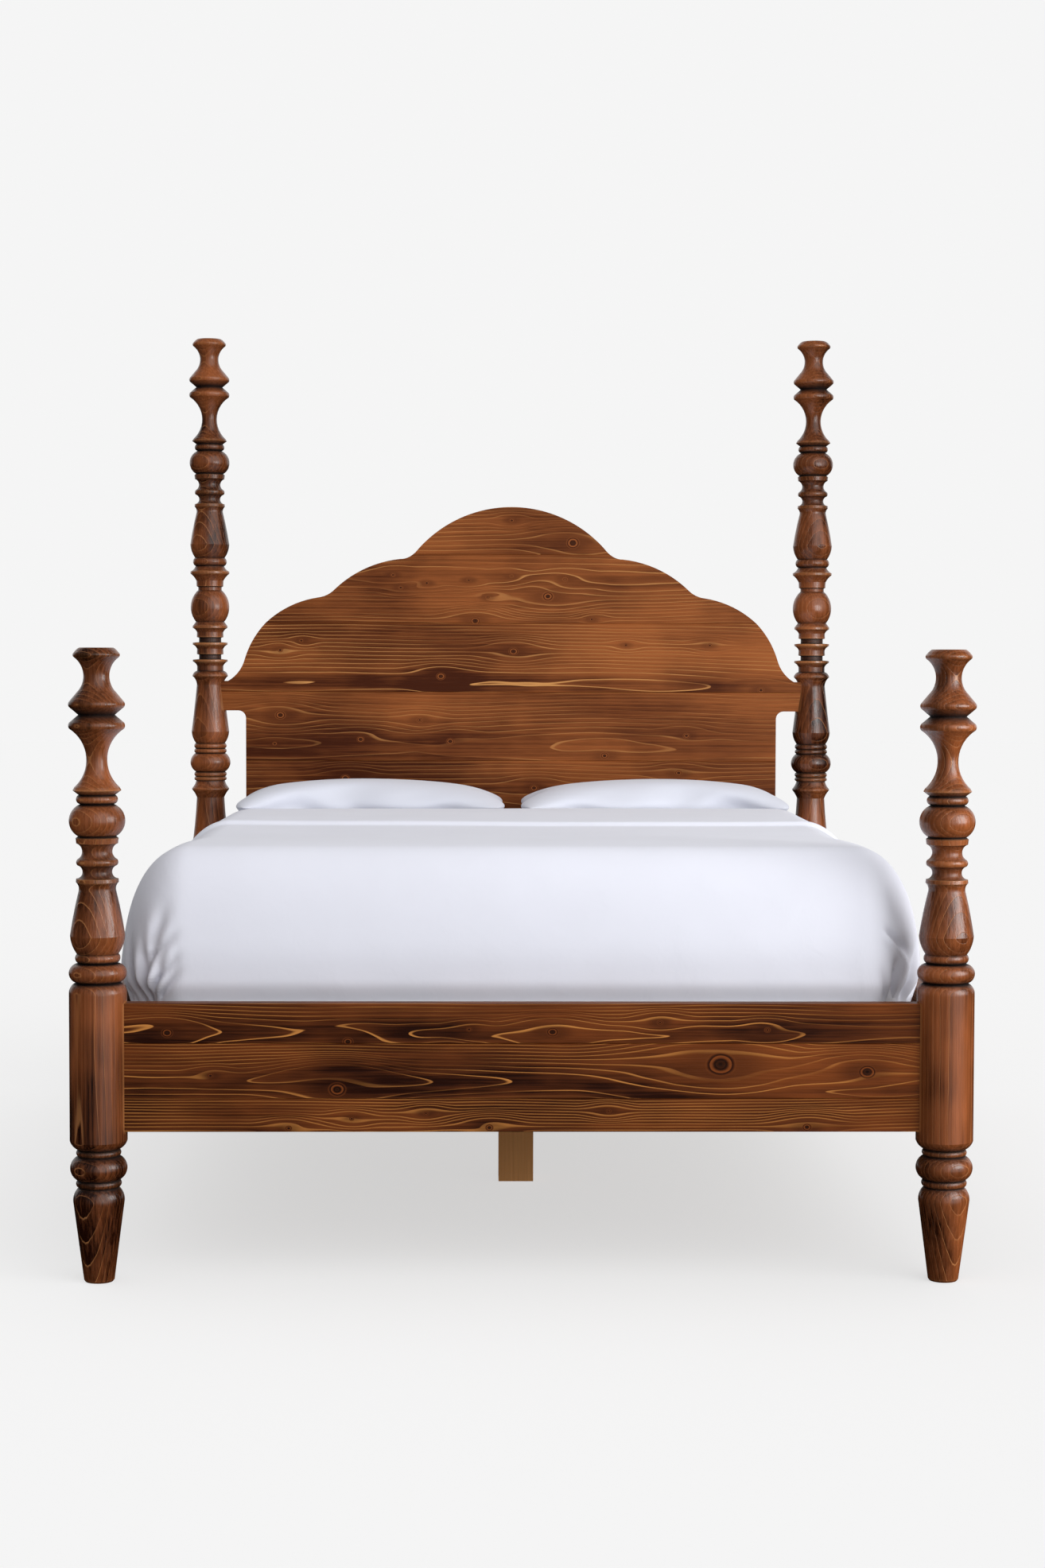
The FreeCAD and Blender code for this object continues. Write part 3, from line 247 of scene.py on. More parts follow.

# Each board: heart of its log up and behind the face, ring spacing, unevenness, and knots along, up and in size
# fade is painted light: it makes each cross board lighter toward its right end
board = {"grain": "x", "drift": 0.06, "sink": 0.05, "flow": 2.2, "lineWidth": 0.0024, "band": 0.22, "shade": 0.18,
         "level": 0.14, "fade": 0.2, "cloud": 0.22, "streak": 0.26, "rubbed": 0.36, "strength": 0.8,
         "gloss": 0.10, "roughness": 0.40}
panelLooks = {
    "headboard_plank_1": {"seed": 3.1, "heart": (0.62, 0.98), "spacing": 0.007},
    # The lowest board in view is set darker: partly its own darker tone, partly painted shade from the pillows in front
    # of it
    "headboard_plank_2": {
        "seed": 7.7, "heart": (0.80, 0.965), "spacing": 0.008, "strength": 0.45, "level": 0.0,
        "knots": [(-0.435, 0.845, 0.010), (0.06, 0.82, 0.009), (0.44, 0.86, 0.009)]},
    "headboard_plank_3": {
        "seed": 12.4, "heart": (0.925, 0.955), "spacing": 0.008, "strength": 0.5,
        "knots": [(-0.605, 1.010, 0.012), (-0.24, 0.998, 0.008), (-0.395, 0.947, 0.008), (-0.16, 0.942, 0.009),
                  (0.245, 0.905, 0.010), (0.46, 0.958, 0.008), (-0.62, 0.935, 0.005)]},
    "headboard_plank_4": {
        "seed": 18.9, "heart": (1.090, 0.995), "spacing": 0.009, "strength": 1.0, "shade": 0.36,
        "knots": [(-0.185, 1.112, 0.010), (0.005, 1.178, 0.010), (-0.605, 1.180, 0.006), (-0.55, 1.205, 0.005),
                  (0.655, 1.078, 0.008), (0.30, 1.195, 0.005), (0.52, 1.195, 0.006)]},
    "headboard_plank_5": {
        "seed": 23.3, "heart": (1.372, 0.985), "spacing": 0.008, "strength": 0.7,
        "knots": [(-0.095, 1.258, 0.010), (0.095, 1.322, 0.014), (-0.31, 1.377, 0.006), (-0.29, 1.344, 0.006),
                  (-0.222, 1.356, 0.006), (-0.112, 1.364, 0.006), (0.0, 1.375, 0.006), (0.14, 1.367, 0.008),
                  (-0.062, 1.32, 0.006), (0.21, 1.262, 0.005)]},
    "headboard_plank_6": {
        "seed": 31.6, "heart": (1.40, 0.97), "spacing": 0.009, "strength": 0.6,
        "knots": [(0.16, 1.462, 0.014), (0.0, 1.52, 0.006)]},
}
for name, look in panelLooks.items():
    dress(pineMaterial(name + "_pine", {**board, **tones["panel"], **look}), name)

railBoard = {**board, **tones["rail"]}
# the rail boards get a stronger painted light toward their right ends
crossBoard = {**railBoard, "fade": 0.26}
brightLines = {"lineWidth": 0.0018, "cloud": 0.34, "level": 0.02, "strength": 1.0}
railLooks = {
    "upper": {
        **brightLines, "seed": 4.4, "heart": (0.47, -0.03), "spacing": 0.0055, "flow": 2.0,
        "knots": [(-0.66, 0.468, 0.009), (-0.325, 0.452, 0.009), (0.055, 0.470, 0.009), (-0.10, 0.475, 0.005),
                  (-0.13, 0.434, 0.007), (0.255, 0.488, 0.006), (0.455, 0.474, 0.006)]},
    "middle": {
        **brightLines, "seed": 9.6, "heart": (0.375, -0.025), "spacing": 0.0060, "flow": 2.4,
        "knots": [(-0.58, 0.388, 0.005), (-0.345, 0.362, 0.014), (0.368, 0.410, 0.022), (0.642, 0.396, 0.012)]},
    "lower": {
        "seed": 15.2, "heart": (0.262, -0.03), "spacing": 0.0052, "flow": 2.6, "strength": 0.9, "level": 0.10,
        "knots": [(-0.435, 0.290, 0.006), (-0.318, 0.308, 0.005), (-0.18, 0.318, 0.005), (-0.062, 0.291, 0.007),
                  (0.16, 0.322, 0.005), (0.53, 0.292, 0.008)]},
}
sideLook = {
    "grain": "y", "spacing": 0.0065, "flow": 2.4, "fade": 0.0,
    "knots": [(-0.55, 0.42, 0.012), (0.22, 0.35, 0.009), (0.71, 0.45, 0.014), (-0.14, 0.33, 0.006),
              (-0.82, 0.34, 0.008)]}
postX, postY, halfRail = 0.79, 1.05, 0.018  # the posts' places and half a rail's thickness
for end, place, shift in (("foot", -postY, 0), ("head", postY, 50)):
    for level, look in railLooks.items():
        own = {**crossBoard, **look, "seed": look["seed"] + shift, "centre": (0, place - halfRail, 0)}
        dress(pineMaterial(f"{end}_rail_{level}_pine", own), f"{end}_rail_board_{level}")
for side, sign in (("left", -1), ("right", 1)):
    own = {**railBoard, **sideLook, "seed": 60.5 + 8 * sign, "heart": (0.39, sign * -0.03),
           "centre": (sign * (postX + halfRail), 0, 0)}
    dress(pineMaterial(f"side_rail_{side}_pine", own), f"side_rail_{side}")

turned = {**tones["post"], "grain": "z", "drift": 0.03, "sink": 0.03, "spacing": 0.0065, "flow": 1.6,
          "lineWidth": 0.0011, "band": 0.18, "shade": 0.0, "level": -0.17, "cloud": 0.44, "streak": 0.22,
          "rubbed": 0.50, "fade": 0.0, "strength": 0.6, "gloss": 0.5, "roughness": 0.22, "glazeAndShade": 0.06, "wear": 0.012}
turnedLooks = {
    "head_post_left": {"centre": (-postX, postY, 0), "seed": 2.0, "heart": (0.03, 0.05)},
    "head_post_right": {"centre": (postX, postY, 0), "seed": 13.0, "heart": (-0.02, 0.05)},
    "foot_post_left": {"centre": (-postX, -postY, 0), "seed": 27.0, "heart": (0.035, 0.045)},
    # The right foot post is set lighter than the other posts: painted light, for the stronger light on the right
    "foot_post_right": {"centre": (postX, -postY, 0), "seed": 38.0, "heart": (-0.03, 0.06), "level": -0.03},
}
for name, look in turnedLooks.items():
    dress(pineMaterial(name + "_pine", {**turned, **look}), name)

# Plain oiled boards under the mattress, and the leg, which is a little paler: partly its own pale pine, partly painted
# light for the light it lacks under the bed
support = {**board, **tones["plain"], "heart": (0.36, 0.1), "spacing": 0.007, "lineWidth": 0.002, "strength": 0.4,
           "shade": 0.0, "rubbed": 0.3, "fade": 0.0, "gloss": 0.12, "roughness": 0.55}
legPaleAndLit = {"dark": (0.66, 0.31, 0.11), "mid": (0.86, 0.43, 0.165), "line": (0.42, 0.17, 0.055),
           "grain": "z", "seed": 33.0, "heart": (0.12, -0.2)}
slats = [name for name in nodes if name.startswith("slat_") and name[5:].isdigit()]
dress(pineMaterial("slat_pine", {**support, "seed": 5.0}), *slats)
dress(pineMaterial("ledger_pine", {**support, "grain": "y", "seed": 21.0}),
      "slat_ledger_left", "slat_ledger_right", "centre_beam")
dress(pineMaterial("leg_pine", {**support, **legPaleAndLit}), "centre_leg")


steel = {"dull": (0.42, 0.43, 0.45), "bright": (0.62, 0.63, 0.64), "spangle": 160, "brush": (30, 900), "relief": 0.0001}


def steelMaterial(d):
    paint = Surface("zinc_steel", Metallic=1.0)
    x, y, z = paint.place()
    wide, fine = d["brush"]
    spangle = paint.noise(x * d["spangle"], y * d["spangle"], z * d["spangle"], 3)
    brushed = paint.noise(x * wide, y * wide, z * fine, 2)
    paint.set(Base_Color=paint.mix(spangle.ease(0.3, 0.7), d["dull"], d["bright"]))
    paint.set(Roughness=spangle * 0.2 + brushed * 0.15 + 0.22)
    paint.bump(brushed, d["relief"])
    return paint.material


dress(steelMaterial(steel), "beam_hangers", "hanger_screws", "ledger_screws", "leg_bolt", "leg_nut", "plate_screws",
      "post_slot_plates", "rail_hook_plates", "slat_screws")
print("wood and steel set")


# Cotton: a fine plain weave with soft creases, read along the cloth's own width and length
cotton = {"threads": 2600, "weave": 0.00002, "slub": 0.00004, "swell": 5.5, "crumple": 9,
          "duvet": ((0.78, 0.79, 0.875), 0.0018), "pillow": ((0.73, 0.75, 0.84), 0.0020),
          "sheet": ((0.75, 0.76, 0.815), 0.0012)}


def cottonMaterial(kind, d):
    tint, creases = d[kind]
    paint = Surface(kind + "_cotton", Roughness=0.85, Specular_IOR_Level=0.2, Sheen_Weight=0.2, Sheen_Roughness=0.5)
    across, along = paint.place("UV", "XY")
    x, y, z = paint.place()
    weave = (across * d["threads"]).math("SINE") * (along * d["threads"]).math("SINE")
    soft = paint.noise(x * d["swell"], y * d["swell"], z * d["swell"], 4, 0.55)
    crumple = paint.noise(across * d["crumple"] + soft * 2, along * d["crumple"], 0.0, 4, 0.5)
    slub = paint.noise(across * 60, along * 900, 0.0, 2)
    shade = paint.mix(soft.ease(0.25, 0.75), [c * 0.975 for c in tint], tint)
    paint.set(Base_Color=paint.mix(slub * 0.04, shade, [c * 0.9 for c in tint]))
    paint.bump(crumple * creases + soft * creases * 0.6 + weave * d["weave"] + slub * d["slub"], 1.0, 0.9)
    return paint.material


duvetCotton, pillowCotton, sheetCotton = (cottonMaterial(kind, cotton) for kind in ("duvet", "pillow", "sheet"))


def addPiece(name, vertices, faces, material, body, replaced, flat=None):
    mesh = bpy.data.meshes.new(name)
    mesh.from_pydata([tuple(v) for v in vertices], [], faces)
    mesh.validate()
    if flat is not None:
        layer = mesh.uv_layers.new(name="cloth")
        corner = np.empty(len(mesh.loops), np.int32)
        mesh.loops.foreach_get("vertex_index", corner)
        layer.data.foreach_set("uv", np.asarray(flat, np.float32)[corner].ravel())
    mesh.shade_smooth()
    mesh.materials.append(material)
    piece = bpy.data.objects.new(name, mesh)
    scene.collection.objects.link(piece)
    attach(piece, body)
    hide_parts(replaced)
    return piece


def steps(*spans):  # places along a cloth, from (start, end, spacing) stretches
    places = [spans[0][0]]
    for start, end, spacing in spans:
        count = max(1, round((end - start) / spacing))
        places += [start + (end - start) * (i + 1) / count for i in range(count)]
    return np.array(places)


def wave(t, *turns):  # a slow uneven wave, between about -1 and 1
    return sum(np.sin(t * (1 + 0.61 * k) + turn * (k + 1)) / (k + 1.5) for k, turn in enumerate(turns)) / 1.3


def smooth(value, low, high):
    t = np.clip((value - low) / (high - low), 0, 1)
    return t * t * (3 - 2 * t)


def bell(value, width):
    return np.exp(-(value / width) ** 2)


def edgeArc(edge):
    return math.pi / 2 * math.hypot(*edge) / math.sqrt(2)


def drape(over, past, half, end, edge, top):
    # over: way across from the middle; past: way beyond the far end of the flat top.
    # The cloth turns down through a rounded edge and hangs, and at a corner it turns both ways
    side = np.sign(over)
    sidePast, endPast = np.maximum(np.abs(over) - half, 0), np.maximum(past, 0)
    reach = np.maximum(sidePast, endPast)
    share = np.minimum(sidePast, endPast) / np.maximum(reach, 1e-9)
    turn = np.where(sidePast >= endPast, share, 2 - share) * math.pi / 4
    turn = np.where(reach > 0, turn, 0)
    wide, tall = edge
    arc = edgeArc(edge)
    bend = np.minimum(reach / arc, 1) * math.pi / 2
    outward = np.stack([side * np.cos(turn), -np.sin(turn), np.zeros_like(turn)], -1)
    flat = np.stack([side * np.minimum(np.abs(over), half), end - np.minimum(past, 0), np.zeros_like(turn)], -1)
    place = flat + outward * (wide * np.sin(bend))[..., None]
    place[..., 2] = top - tall * (1 - np.cos(bend)) - np.maximum(reach - arc, 0)
    normal = outward * (tall * np.sin(bend))[..., None]
    normal[..., 2] = wide * np.cos(bend)
    normal = normal / np.linalg.norm(normal, axis=-1)[..., None]
    return place, normal, reach, turn


def gridFaces(rows, columns, start=0, flip=False):
    faces = []
    for i in range(rows - 1):
        for j in range(columns - 1):
            a = start + i * columns + j
            quad = (a, a + 1, a + columns + 1, a + columns)
            faces.append(quad[::-1] if flip else quad)
    return faces


# Duvet: its own thickness over the sheet, tucked inside the rails, head end turned back.
# Creases at the foot corners run from a first point to a second, each round the corner and up from the hem,
# then come their depth and width, all in millimetres
duvet = {
    "half": 0.635, "foot": -0.894, "head": 0.515, "edge": (0.128, 0.20), "top": 0.790, "hem": 0.508,
    "insideHalf": 0.7512, "insideFoot": -1.0062, "insideTop": 0.7332, "insideEdge": (0.121, 0.081), "skin": 0.004,
    "band": 0.575, "bandRise": 0.007, "bandWander": 0.006, "bandRoll": (0.003, 0.016),
    "puff": 0.014, "swell": 0.004, "tuckDip": ((0.012, 0.005, 0.05), (0.004, 0.0, 0.12)), "headDip": (0.022, 0.03),
    "finest": 0.004, "fine": 0.0062, "coarse": 0.014, "fineMargin": 0.09, "bandMargin": 0.03,
    "leftCreases": [((13, 6), (19, 145), 13, 9), ((24, 60), (62, 195), 10, 13), ((30, 92), (96, 146), 8, 9),
                    ((32, 26), (68, 104), 15, 8), ((40, 44), (98, 104), 11, 8), ((42, 14), (98, 78), 12, 9),
                    ((-14, 10), (-28, 135), 11, 10), ((-36, 14), (-82, 116), 11, 10), ((-50, 10), (-120, 74), 9, 11)],
    "rightCreases": [((46, 146), (-36, 78), 12, 10), ((10, 6), (20, 115), 11, 12), ((36, 10), (62, 80), 6, 10),
                     ((-30, 10), (-52, 124), 11, 10), ((-52, 10), (-120, 88), 9, 11)],
    "leftTuck": (0.013, 0.034, 0.06), "rightTuck": (0.022, 0.036, 0.14),  # depth, width and height of the corner tuck
}


def cornerFolds(level, height, creases, tuck):
    lift = np.zeros_like(level)
    for start, end, depth, width in creases:
        start, end, depth, width = np.array(start) / 1000, np.array(end) / 1000, depth / 1000, width / 1000
        line = end - start
        length = np.hypot(*line)
        t = ((level - start[0]) * line[0] + (height - start[1]) * line[1]) / length ** 2
        s = ((level - start[0]) * line[1] - (height - start[1]) * line[0]) / length
        wide = width * (0.55 + 0.6 * np.clip(t, 0, 1.2))
        strength = smooth(t, -0.12, 0.15) * (1 - smooth(t, 0.45, 1.1))  # fades in at the hem and out higher up
        lift += depth * strength * (0.55 * bell(s + 1.9 * wide, 1.4 * wide) - bell(s, wide))
    depth, width, tall = tuck
    return lift - depth * bell(level - 0.004, width) * (1 - smooth(height, 0.01, tall))


def buildDuvet(d):
    drop = edgeArc(d["edge"]) + d["top"] - d["edge"][1] - d["hem"]
    half, length = d["half"] + drop, d["head"] - d["foot"]
    bulk = d["half"] - d["fineMargin"]
    across = steps((-half, -bulk, d["fine"]), (-bulk, bulk, d["coarse"]), (bulk, half, d["fine"]))
    margin, turnDown = d["bandMargin"], length - d["fineMargin"]
    before, after = d["band"] - margin, d["band"] + margin
    along = steps((0, margin, 0.006), (margin, before, d["coarse"]), (before, after, d["finest"]),
                  (after, turnDown, d["coarse"]), (turnDown, length + drop, d["fine"]))
    over, run = np.meshgrid(across, along, indexing="ij")
    place, normal, reach, turn = drape(over, run - length, d["half"], d["foot"], d["edge"], d["top"])
    height = place[..., 2] - d["hem"]
    # way round the nearer foot corner, towards the foot
    level = (turn - math.pi / 4) * d["edge"][0] + np.where(turn <= 0, run - length, 0)
    level = level + np.where(turn >= math.pi / 2, d["half"] - np.abs(over), 0)
    lift = np.where(over < 0, cornerFolds(level, height, d["leftCreases"], d["leftTuck"]),
                    cornerFolds(level, height, d["rightCreases"], d["rightTuck"]))
    lift = lift * smooth(reach, 0.04, 0.14)
    # slow swell of the filling, thinner to the sides, a dip along the tuck, and the turned-back layer
    swell = wave(over * 5.1 + 1.3 * wave(run * 3.3, 0.3, 1.7), 0.3, 1.7, 4.1) * wave(run * 4.7, 2.0, 0.6, 1.1)
    lift = lift + d["swell"] * swell * (1 - 0.6 * smooth(reach, 0.05, 0.2))
    lift = lift + d["puff"] * smooth(run, length - 0.55, length - 0.05) * (1 - smooth(reach, 0.02, 0.22))
    for depth, low, high in d["tuckDip"]:
        lift = lift - depth * (1 - smooth(height, low, high))
    fold = d["band"] + d["bandWander"] * wave(over * 3, 5.0, 1.2, 0.4)
    roll, rollWidth = d["bandRoll"]
    rise = d["bandRise"] * (1 - smooth(run, fold - 0.005, fold + 0.005))
    rise = rise + roll * bell(run - fold + rollWidth, rollWidth)
    headDip, headWidth = d["headDip"]
    lift = lift + rise * (1 - 0.75 * smooth(reach, 0.1, 0.3)) - headDip * (1 - smooth(run, 0.0, headWidth)) ** 2
    outer = place + normal * lift[..., None]
    # the inside, clear of the sheet all over
    inHalf, inFoot = d["insideHalf"] - d["insideEdge"][0], d["insideFoot"] + d["insideEdge"][0]
    inDrop = edgeArc(d["insideEdge"]) + d["insideTop"] - d["insideEdge"][1] - d["hem"]
    beyond = np.maximum(np.abs(over) - d["half"], 0) * inDrop / drop
    inOver = np.sign(over) * (np.minimum(np.abs(over), d["half"]) * inHalf / d["half"] + beyond)
    inPast = np.where(run <= length, (run - length) * (d["head"] - inFoot) / length, (run - length) * inDrop / drop)
    inner = drape(inOver, inPast, inHalf, inFoot, d["insideEdge"], d["insideTop"])[0]
    slack = np.einsum("...i,...i", outer - inner, normal)
    inner = inner - normal * np.maximum(d["skin"] - slack, 0)[..., None]
    rows, columns = over.shape
    count = rows * columns
    faces = gridFaces(rows, columns) + gridFaces(rows, columns, count, flip=True)
    edge = [(i, 0) for i in range(rows)] + [(rows - 1, j) for j in range(1, columns)]
    edge += [(i, columns - 1) for i in range(rows - 2, -1, -1)] + [(0, j) for j in range(columns - 2, 0, -1)]
    rim = [i * columns + j for i, j in edge]
    faces += [(b, a, a + count, b + count) for a, b in zip(rim, rim[1:] + rim[:1])]
    vertices = np.concatenate([outer.reshape(-1, 3), inner.reshape(-1, 3)])
    flat = np.stack([over, run], -1).reshape(-1, 2)
    piece = addPiece("duvet_cover", vertices, faces, duvetCotton, "duvet", "duvet",
                     np.concatenate([flat, flat]))


buildDuvet(duvet)
print("duvet made")


# Fitted sheet: stretched over the mattress, gathered at its hem
sheet = {"half": 0.7504, "end": 1.0054, "top": 0.7324, "hem": 0.463, "thickness": 0.0012,
         "head": (0.0954, (0.0344, 0.0344)), "foot": (0.160, (0.120, 0.080)),  # corner radius, then edge in and down
         "ring": 640, "sideSteps": 14, "arcSteps": 8, "cap": 0.03, "ease": 0.002,
         "pucker": 0.0012, "pleats": 97, "cornerPleats": 61, "cornerReach": 0.16, "pleatHeight": 0.06,
         "cornerCut": 0.97}  # share of the drop's cloth that is left once the corners are cut out


def blockRings(half, end, corner, levels, count):
    # closed rings round a block with rounded corners, one for each (inset from the side, height)
    sideX, sideY = half - corner, end - corner
    arc = math.pi / 2 * corner
    runs = [2 * sideX, arc, 2 * sideY, arc] * 2
    starts = np.cumsum([0] + runs)
    rings = []
    for inset, z in levels:
        ring = []
        for s in np.arange(count) / count * starts[-1]:
            part = min(int(np.searchsorted(starts, s, "right")) - 1, 7)
            s = s - starts[part]
            ahead, out = (sideX, sideY) if part % 4 < 2 else (sideY, sideX)
            tight, radius = max(inset - corner, 0), max(corner - inset, 0)
            if part % 2 == 0:
                x, y = s - ahead, inset - out - corner
            else:
                x, y = ahead + radius * math.sin(s / corner) - tight, tight - out - radius * math.cos(s / corner)
            c, n = math.cos(part // 2 * math.pi / 2), math.sin(part // 2 * math.pi / 2)
            ring.append((x * c - y * n, x * n + y * c, z))
        rings.append(ring)
    return np.array(rings)


def roundedLevels(edge, top, bottom, sideSteps, arcSteps, insets):
    wide, tall = edge
    levels = [(0.0, bottom + (top - tall - bottom) * i / sideSteps) for i in range(sideSteps)]
    turns = [math.pi / 2 * i / arcSteps for i in range(arcSteps + 1)]
    levels += [(wide * (1 - math.cos(a)), top - tall + tall * math.sin(a)) for a in turns]
    return levels + [(wide + step, top) for step in insets]


def bedRings(d, spare, levelsFor, count):
    # each end has its own corner and edge radius, passing into each other at the middle
    ends = []
    for corner, edge in (d["foot"], d["head"]):
        ends.append(blockRings(d["half"] + spare, d["end"] + spare, corner + spare, levelsFor(edge), count))
    share = smooth(ends[0][..., 1:2], -0.35, 0.35)
    return ends[0] * (1 - share) + ends[1] * share


def skinFaces(rings, start=0, flip=False):
    levels, count = rings.shape[:2]
    faces = []
    for i in range(levels - 1):
        for j in range(count):
            a, b = start + i * count + j, start + i * count + (j + 1) % count
            faces.append((a, b, b + count, a + count))
    faces.append(tuple(start + (levels - 1) * count + j for j in range(count)))
    return [face[::-1] for face in faces] if flip else faces


def outwards(rings):
    return rings[..., :2] / np.linalg.norm(rings[..., :2], axis=-1)[..., None]


def buildSheet(d):
    ring = d["ring"]

    def levelsFor(edge):
        return roundedLevels(edge, d["top"], d["hem"], d["sideSteps"], d["arcSteps"], (d["cap"],))

    rings = bedRings(d, d["ease"], levelsFor, ring)
    s = np.arange(ring) / ring * 2 * math.pi
    uneven = (0.7, 2.9, 1.1)
    pleat = np.sin(s * d["pleats"] + 2 * wave(s * 5, *uneven)) * (0.5 + 0.5 * wave(s * 9, *uneven))
    corner = bell(np.abs(rings[0, :, 0]) - d["half"], d["cornerReach"])
    corner = corner * bell(np.abs(rings[0, :, 1]) - d["end"], d["cornerReach"])
    fade = np.exp((d["hem"] - rings[..., 2]) / d["pleatHeight"])
    pucker = d["pucker"] * np.abs(pleat * fade + np.sin(s * d["cornerPleats"]) * corner * (1 - fade))
    rings[..., :2] -= outwards(rings) * pucker[..., None]
    inner = rings.copy()
    inner[..., :2] -= outwards(rings) * d["thickness"]
    inner[-d["arcSteps"] - 1:, :, 2] -= d["thickness"]
    count = rings.shape[0] * ring
    faces = skinFaces(rings) + skinFaces(inner, count, flip=True)
    faces += [((j + 1) % ring, j, count + j, count + (j + 1) % ring) for j in range(ring)]
    vertices = np.concatenate([rings.reshape(-1, 3), inner.reshape(-1, 3)])
    flat = vertices[:, :2] * (1 + (d["top"] - vertices[:, 2:3]) * 0.6)
    piece = addPiece("fitted_sheet_cloth", vertices, faces, sheetCotton, "mattress", "fitted_sheet",
                     flat)


# Mattress: a rounded block in striped, quilted ticking with a piped line near each edge
mattress = {"half": 0.7497, "end": 1.0047, "top": 0.7297, "bottom": 0.4303,
            "head": (0.0947, (0.032, 0.032)), "foot": (0.159, (0.118, 0.078)),  # corner radius, then edge in and down
            "ring": 400, "sideSteps": 8, "arcSteps": 6, "caps": (0.02, 0.05, 0.065),
            "piping": 0.034, "pipingDepth": 0.0025, "pipingWidth": 0.006,
            "cloth": (0.74, 0.73, 0.71), "stripe": (0.58, 0.59, 0.62), "stripes": 400, "damask": 60, "quilt": 36}


def tickingMaterial(d):
    paint = Surface("ticking", Roughness=0.85, Specular_IOR_Level=0.2, Sheen_Weight=0.2)
    x, y, z = paint.place()
    stripe = (x * d["stripes"]).math("SINE").ease(0.2, 0.6)
    damask = paint.noise(x * d["damask"], y * d["damask"], z * d["damask"], 3)
    quilt = (x * d["quilt"]).math("SINE").math("ABSOLUTE") * (y * d["quilt"]).math("SINE").math("ABSOLUTE")
    paint.set(Base_Color=paint.mix(stripe * 0.25 + damask * 0.2, d["cloth"], d["stripe"]))
    paint.bump(quilt * 0.004 + damask * 0.0004, 1.0, 0.8)
    return paint.material


def buildMattress(d):
    middle = (d["top"] + d["bottom"]) / 2

    def levelsFor(edge):
        upper = roundedLevels(edge, d["top"], middle, d["sideSteps"], d["arcSteps"], d["caps"])
        return [(inset, 2 * middle - z) for inset, z in reversed(upper)] + upper[1:]

    rings = bedRings(d, 0, levelsFor, d["ring"])
    gap = np.abs(np.abs(rings[..., 2] - middle) - (d["top"] - middle) + d["piping"])
    rings[..., :2] -= outwards(rings) * (d["pipingDepth"] * (1 - bell(gap, d["pipingWidth"])))[..., None]
    faces = skinFaces(rings)
    faces.append(tuple(range(rings.shape[1]))[::-1])
    piece = addPiece("mattress_core", rings.reshape(-1, 3), faces, tickingMaterial(d), "mattress",
                     "mattress")


buildMattress(mattress)
buildSheet(sheet)
print("mattress and sheet made")


# Pillows: a flat case blown up until its sides draw in, then laid on the sheet
pillow = {"length": 0.70, "depth": 0.48, "spacing": 0.011, "start": 0.012, "round": 0.22, "rest": 0.7330,
          "press": 0.42, "pressCurve": 2.2, "pressure": 4.0, "frames": 24, "tension": 25, "compression": 12,
          "bending": 0.4, "quality": 6, "mass": 0.25, "smoothing": 30}


def pillowCase(d):
    countX, countY = round(d["length"] / d["spacing"]), round(d["depth"] / d["spacing"])
    vertices = []
    for y in np.linspace(-0.5, 0.5, countY + 1):
        for x in np.linspace(-0.5, 0.5, countX + 1):
            bulge = max((1 - (2 * x) ** 2) * (1 - (2 * y) ** 2), 0)
            inX, inY = math.sqrt(1 - d["round"] * 4 * y * y), math.sqrt(1 - d["round"] * 4 * x * x)
            vertices.append((x * d["length"] * inX, y * d["depth"] * inY, d["start"] * math.sqrt(bulge)))
    faces = gridFaces(countY + 1, countX + 1)
    under = {}
    for k, (x, y, z) in enumerate(list(vertices)):
        row, column = divmod(k, countX + 1)
        under[k] = k
        if row not in (0, countY) and column not in (0, countX):
            under[k] = len(vertices)
            vertices.append((x, y, -z))
    return np.array(vertices), faces + [tuple(under[v] for v in quad[::-1]) for quad in faces]


def blowUp(vertices, faces, d):
    mesh = bpy.data.meshes.new("pillow_blank")
    mesh.from_pydata(vertices.tolist(), [], faces)
    case = bpy.data.objects.new("pillow_blank", mesh)
    scene.collection.objects.link(case)
    settings = case.modifiers.new("cloth", "CLOTH").settings
    settings.effector_weights.gravity = 0
    settings.use_pressure = True
    settings.uniform_pressure_force = d["pressure"]
    settings.tension_stiffness, settings.compression_stiffness = d["tension"], d["compression"]
    settings.bending_stiffness = d["bending"]
    settings.quality, settings.mass = d["quality"], d["mass"]
    for number in range(1, d["frames"] + 1):
        scene.frame_set(number)
    blown = case.evaluated_get(bpy.context.evaluated_depsgraph_get())
    grown = np.array([v.co for v in blown.data.vertices])
    ends = np.array([edge.vertices for edge in mesh.edges])
    shared = np.bincount(ends.ravel(), minlength=len(grown))[:, None]
    for _ in range(d["smoothing"]):
        total = np.zeros_like(grown)
        np.add.at(total, ends[:, 0], grown[ends[:, 1]])
        np.add.at(total, ends[:, 1], grown[ends[:, 0]])
        grown = 0.5 * grown + 0.5 * total / shared
    bpy.data.objects.remove(case)
    scene.frame_set(1)
    return grown


def buildPillows(d):
    vertices, faces = pillowCase(d)
    grown = blowUp(vertices, faces, d)
    low, high = grown.min(0), grown.max(0)
    print("pillow blown to", (high - low).round(3))
    shape = (grown - (low + high) / 2) / (high - low)
    for side, sign in (("left", -1), ("right", 1)):
        low, high = (np.array(corner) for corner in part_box(f"pillow_{side}"))
        size, press = high - low, d["press"]
        form = shape * size * (sign, 1, 1)
        # the underside is pressed flat on the sheet
        z = form[:, 2] / size[2] + 0.5
        z = np.where(z < press, press * (np.maximum(z, 0) / press) ** d["pressCurve"], z) * size[2]
        form = form + (low + high) / 2
        form[:, 2] = z - z.min() + d["rest"]
        wound = faces if sign > 0 else [face[::-1] for face in faces]
        piece = addPiece(f"pillow_case_{side}", form, wound, pillowCotton, f"pillow_{side}",
                         f"pillow_{side}", vertices[:, :2])
        finer = piece.modifiers.new("finer", "SUBSURF")
        finer.levels = finer.render_levels = 1


buildPillows(pillow)
print("pillows made")


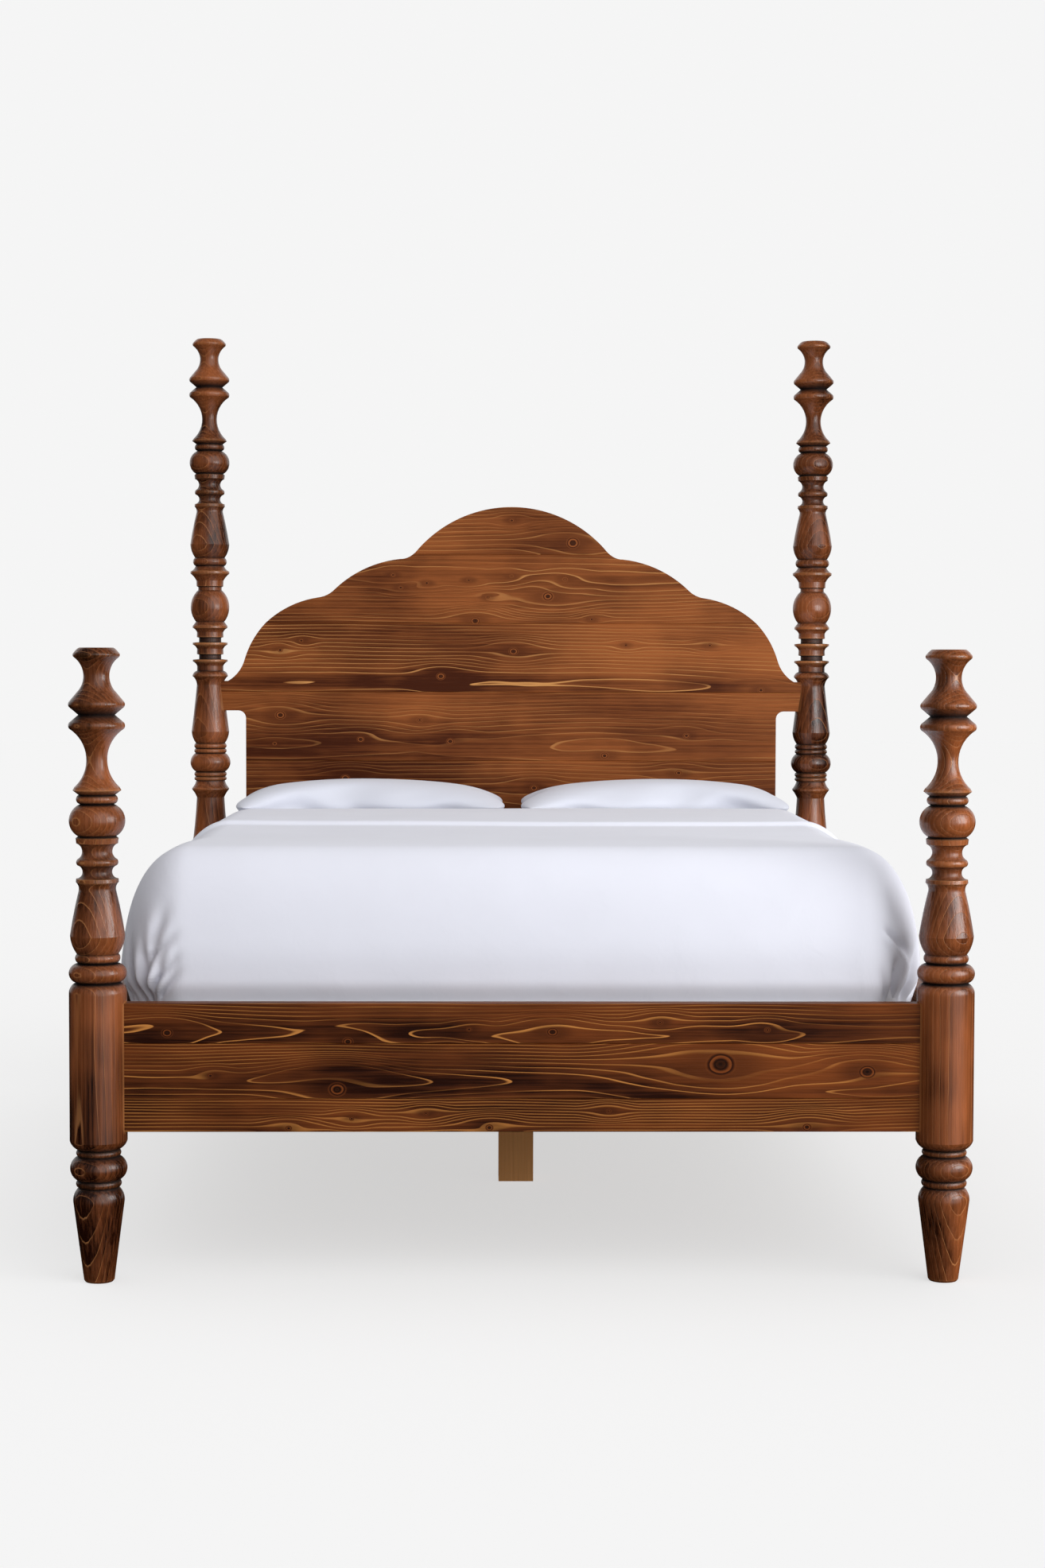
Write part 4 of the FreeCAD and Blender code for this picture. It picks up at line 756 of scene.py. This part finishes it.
# Floor and light: a pale floor that keeps the shadow, and a soft surround, brightest in front on the right
stage = {"paper": 0.914, "floorLight": 0.746, "floorShade": 0.42, "floorBounce": 0.5, "floorSize": 60,
         "horizon": 0.16, "zenith": 0.66, "mirrored": 0.12,
         # way to each glow, where it starts and is full, and its strength
         "glows": [((0.60, -0.72, 0.30), 0.70, 0.88, 1.4), ((0.0, -1.0, 0.20), 0.50, 1.0, 0.20)],
         "lamp": {"place": (2.6, -2.2, 1.5), "aim": (0.0, 0.0, 0.7), "size": 1.6, "power": 50}}


def addStage(d):
    floorPaint = Surface("paper_floor")
    seen = floorPaint.node("LightPath", output="Is Camera Ray")
    glow = floorPaint.node("Emission", {"Strength": seen * (d["paper"] - d["floorShade"] * d["floorLight"])})
    grey = floorPaint.mix(seen, [d["floorBounce"]] * 3, [d["floorShade"]] * 3)
    matte = floorPaint.node("BsdfDiffuse", {"Color": grey})
    both = floorPaint.node("AddShader", (glow, matte))
    floorPaint.tree.nodes.remove(floorPaint.tree.nodes["Principled BSDF"])
    floorPaint.feed(floorPaint.tree.nodes["Material Output"].inputs[0], both)
    half = d["floorSize"] / 2
    mesh = bpy.data.meshes.new("floor")
    mesh.from_pydata([(-half, -half, 0), (half, -half, 0), (half, half, 0), (-half, half, 0)], [], [(0, 1, 2, 3)])
    mesh.materials.append(floorPaint.material)
    floor = bpy.data.objects.new("floor", mesh)
    scene.collection.objects.link(floor)
    floor.visible_glossy = False

    lamp = bpy.data.lights.new("softbox", "AREA")
    lamp.energy, lamp.size = d["lamp"]["power"], d["lamp"]["size"]
    softbox = bpy.data.objects.new("softbox", lamp)
    softbox.location = d["lamp"]["place"]
    softbox.rotation_euler = (Vector(d["lamp"]["aim"]) - softbox.location).to_track_quat("-Z", "Y").to_euler()
    scene.collection.objects.link(softbox)
    unlit = bpy.data.collections.new("unlit")  # the softbox leaves the floor even
    unlit.objects.link(floor)
    softbox.light_linking.receiver_collection = unlit
    unlit.collection_objects[0].light_linking.link_state = "EXCLUDE"

    world = bpy.data.worlds.new("surround")
    world.use_nodes = True
    air = Paint(world.node_tree)
    air.tree.nodes.clear()
    way = air.node("TexCoord", output="Generated")
    y, z = (air.node("SeparateXYZ", (way,), axis) for axis in "YZ")
    mirrored = air.node("LightPath", output="Is Glossy Ray")
    light = z.ease(0, 0.9, d["horizon"], d["zenith"]) * (1 - mirrored * (1 - d["mirrored"]))
    for direction, start, end, strength in d["glows"]:
        facing = air.node("VectorMath", (way, Vector(direction).normalized()), "Value", operation="DOT_PRODUCT")
        light = light + facing.ease(start, end, 0, strength)
    light = light * z.ease(-0.3, 0.0, 0.15, 1)
    # the paper behind shows plainly, also in what mirrors it
    seen = air.node("LightPath", output="Is Camera Ray") + air.node("LightPath", output="Is Transmission Ray")
    seen = seen + mirrored * y.ease(0.45, 0.8) * z.ease(-0.1, 0.05)
    lit = air.node("Background", {"Color": (1, 1, 1, 1), "Strength": light})
    paper = air.node("Background", {"Color": (1, 1, 1, 1), "Strength": d["paper"]})
    air.node("OutputWorld", (air.node("MixShader", (seen, lit, paper)),), None)
    scene.world = world
    scene.view_settings.view_transform = "Standard"


addStage(stage)
print("stage set")
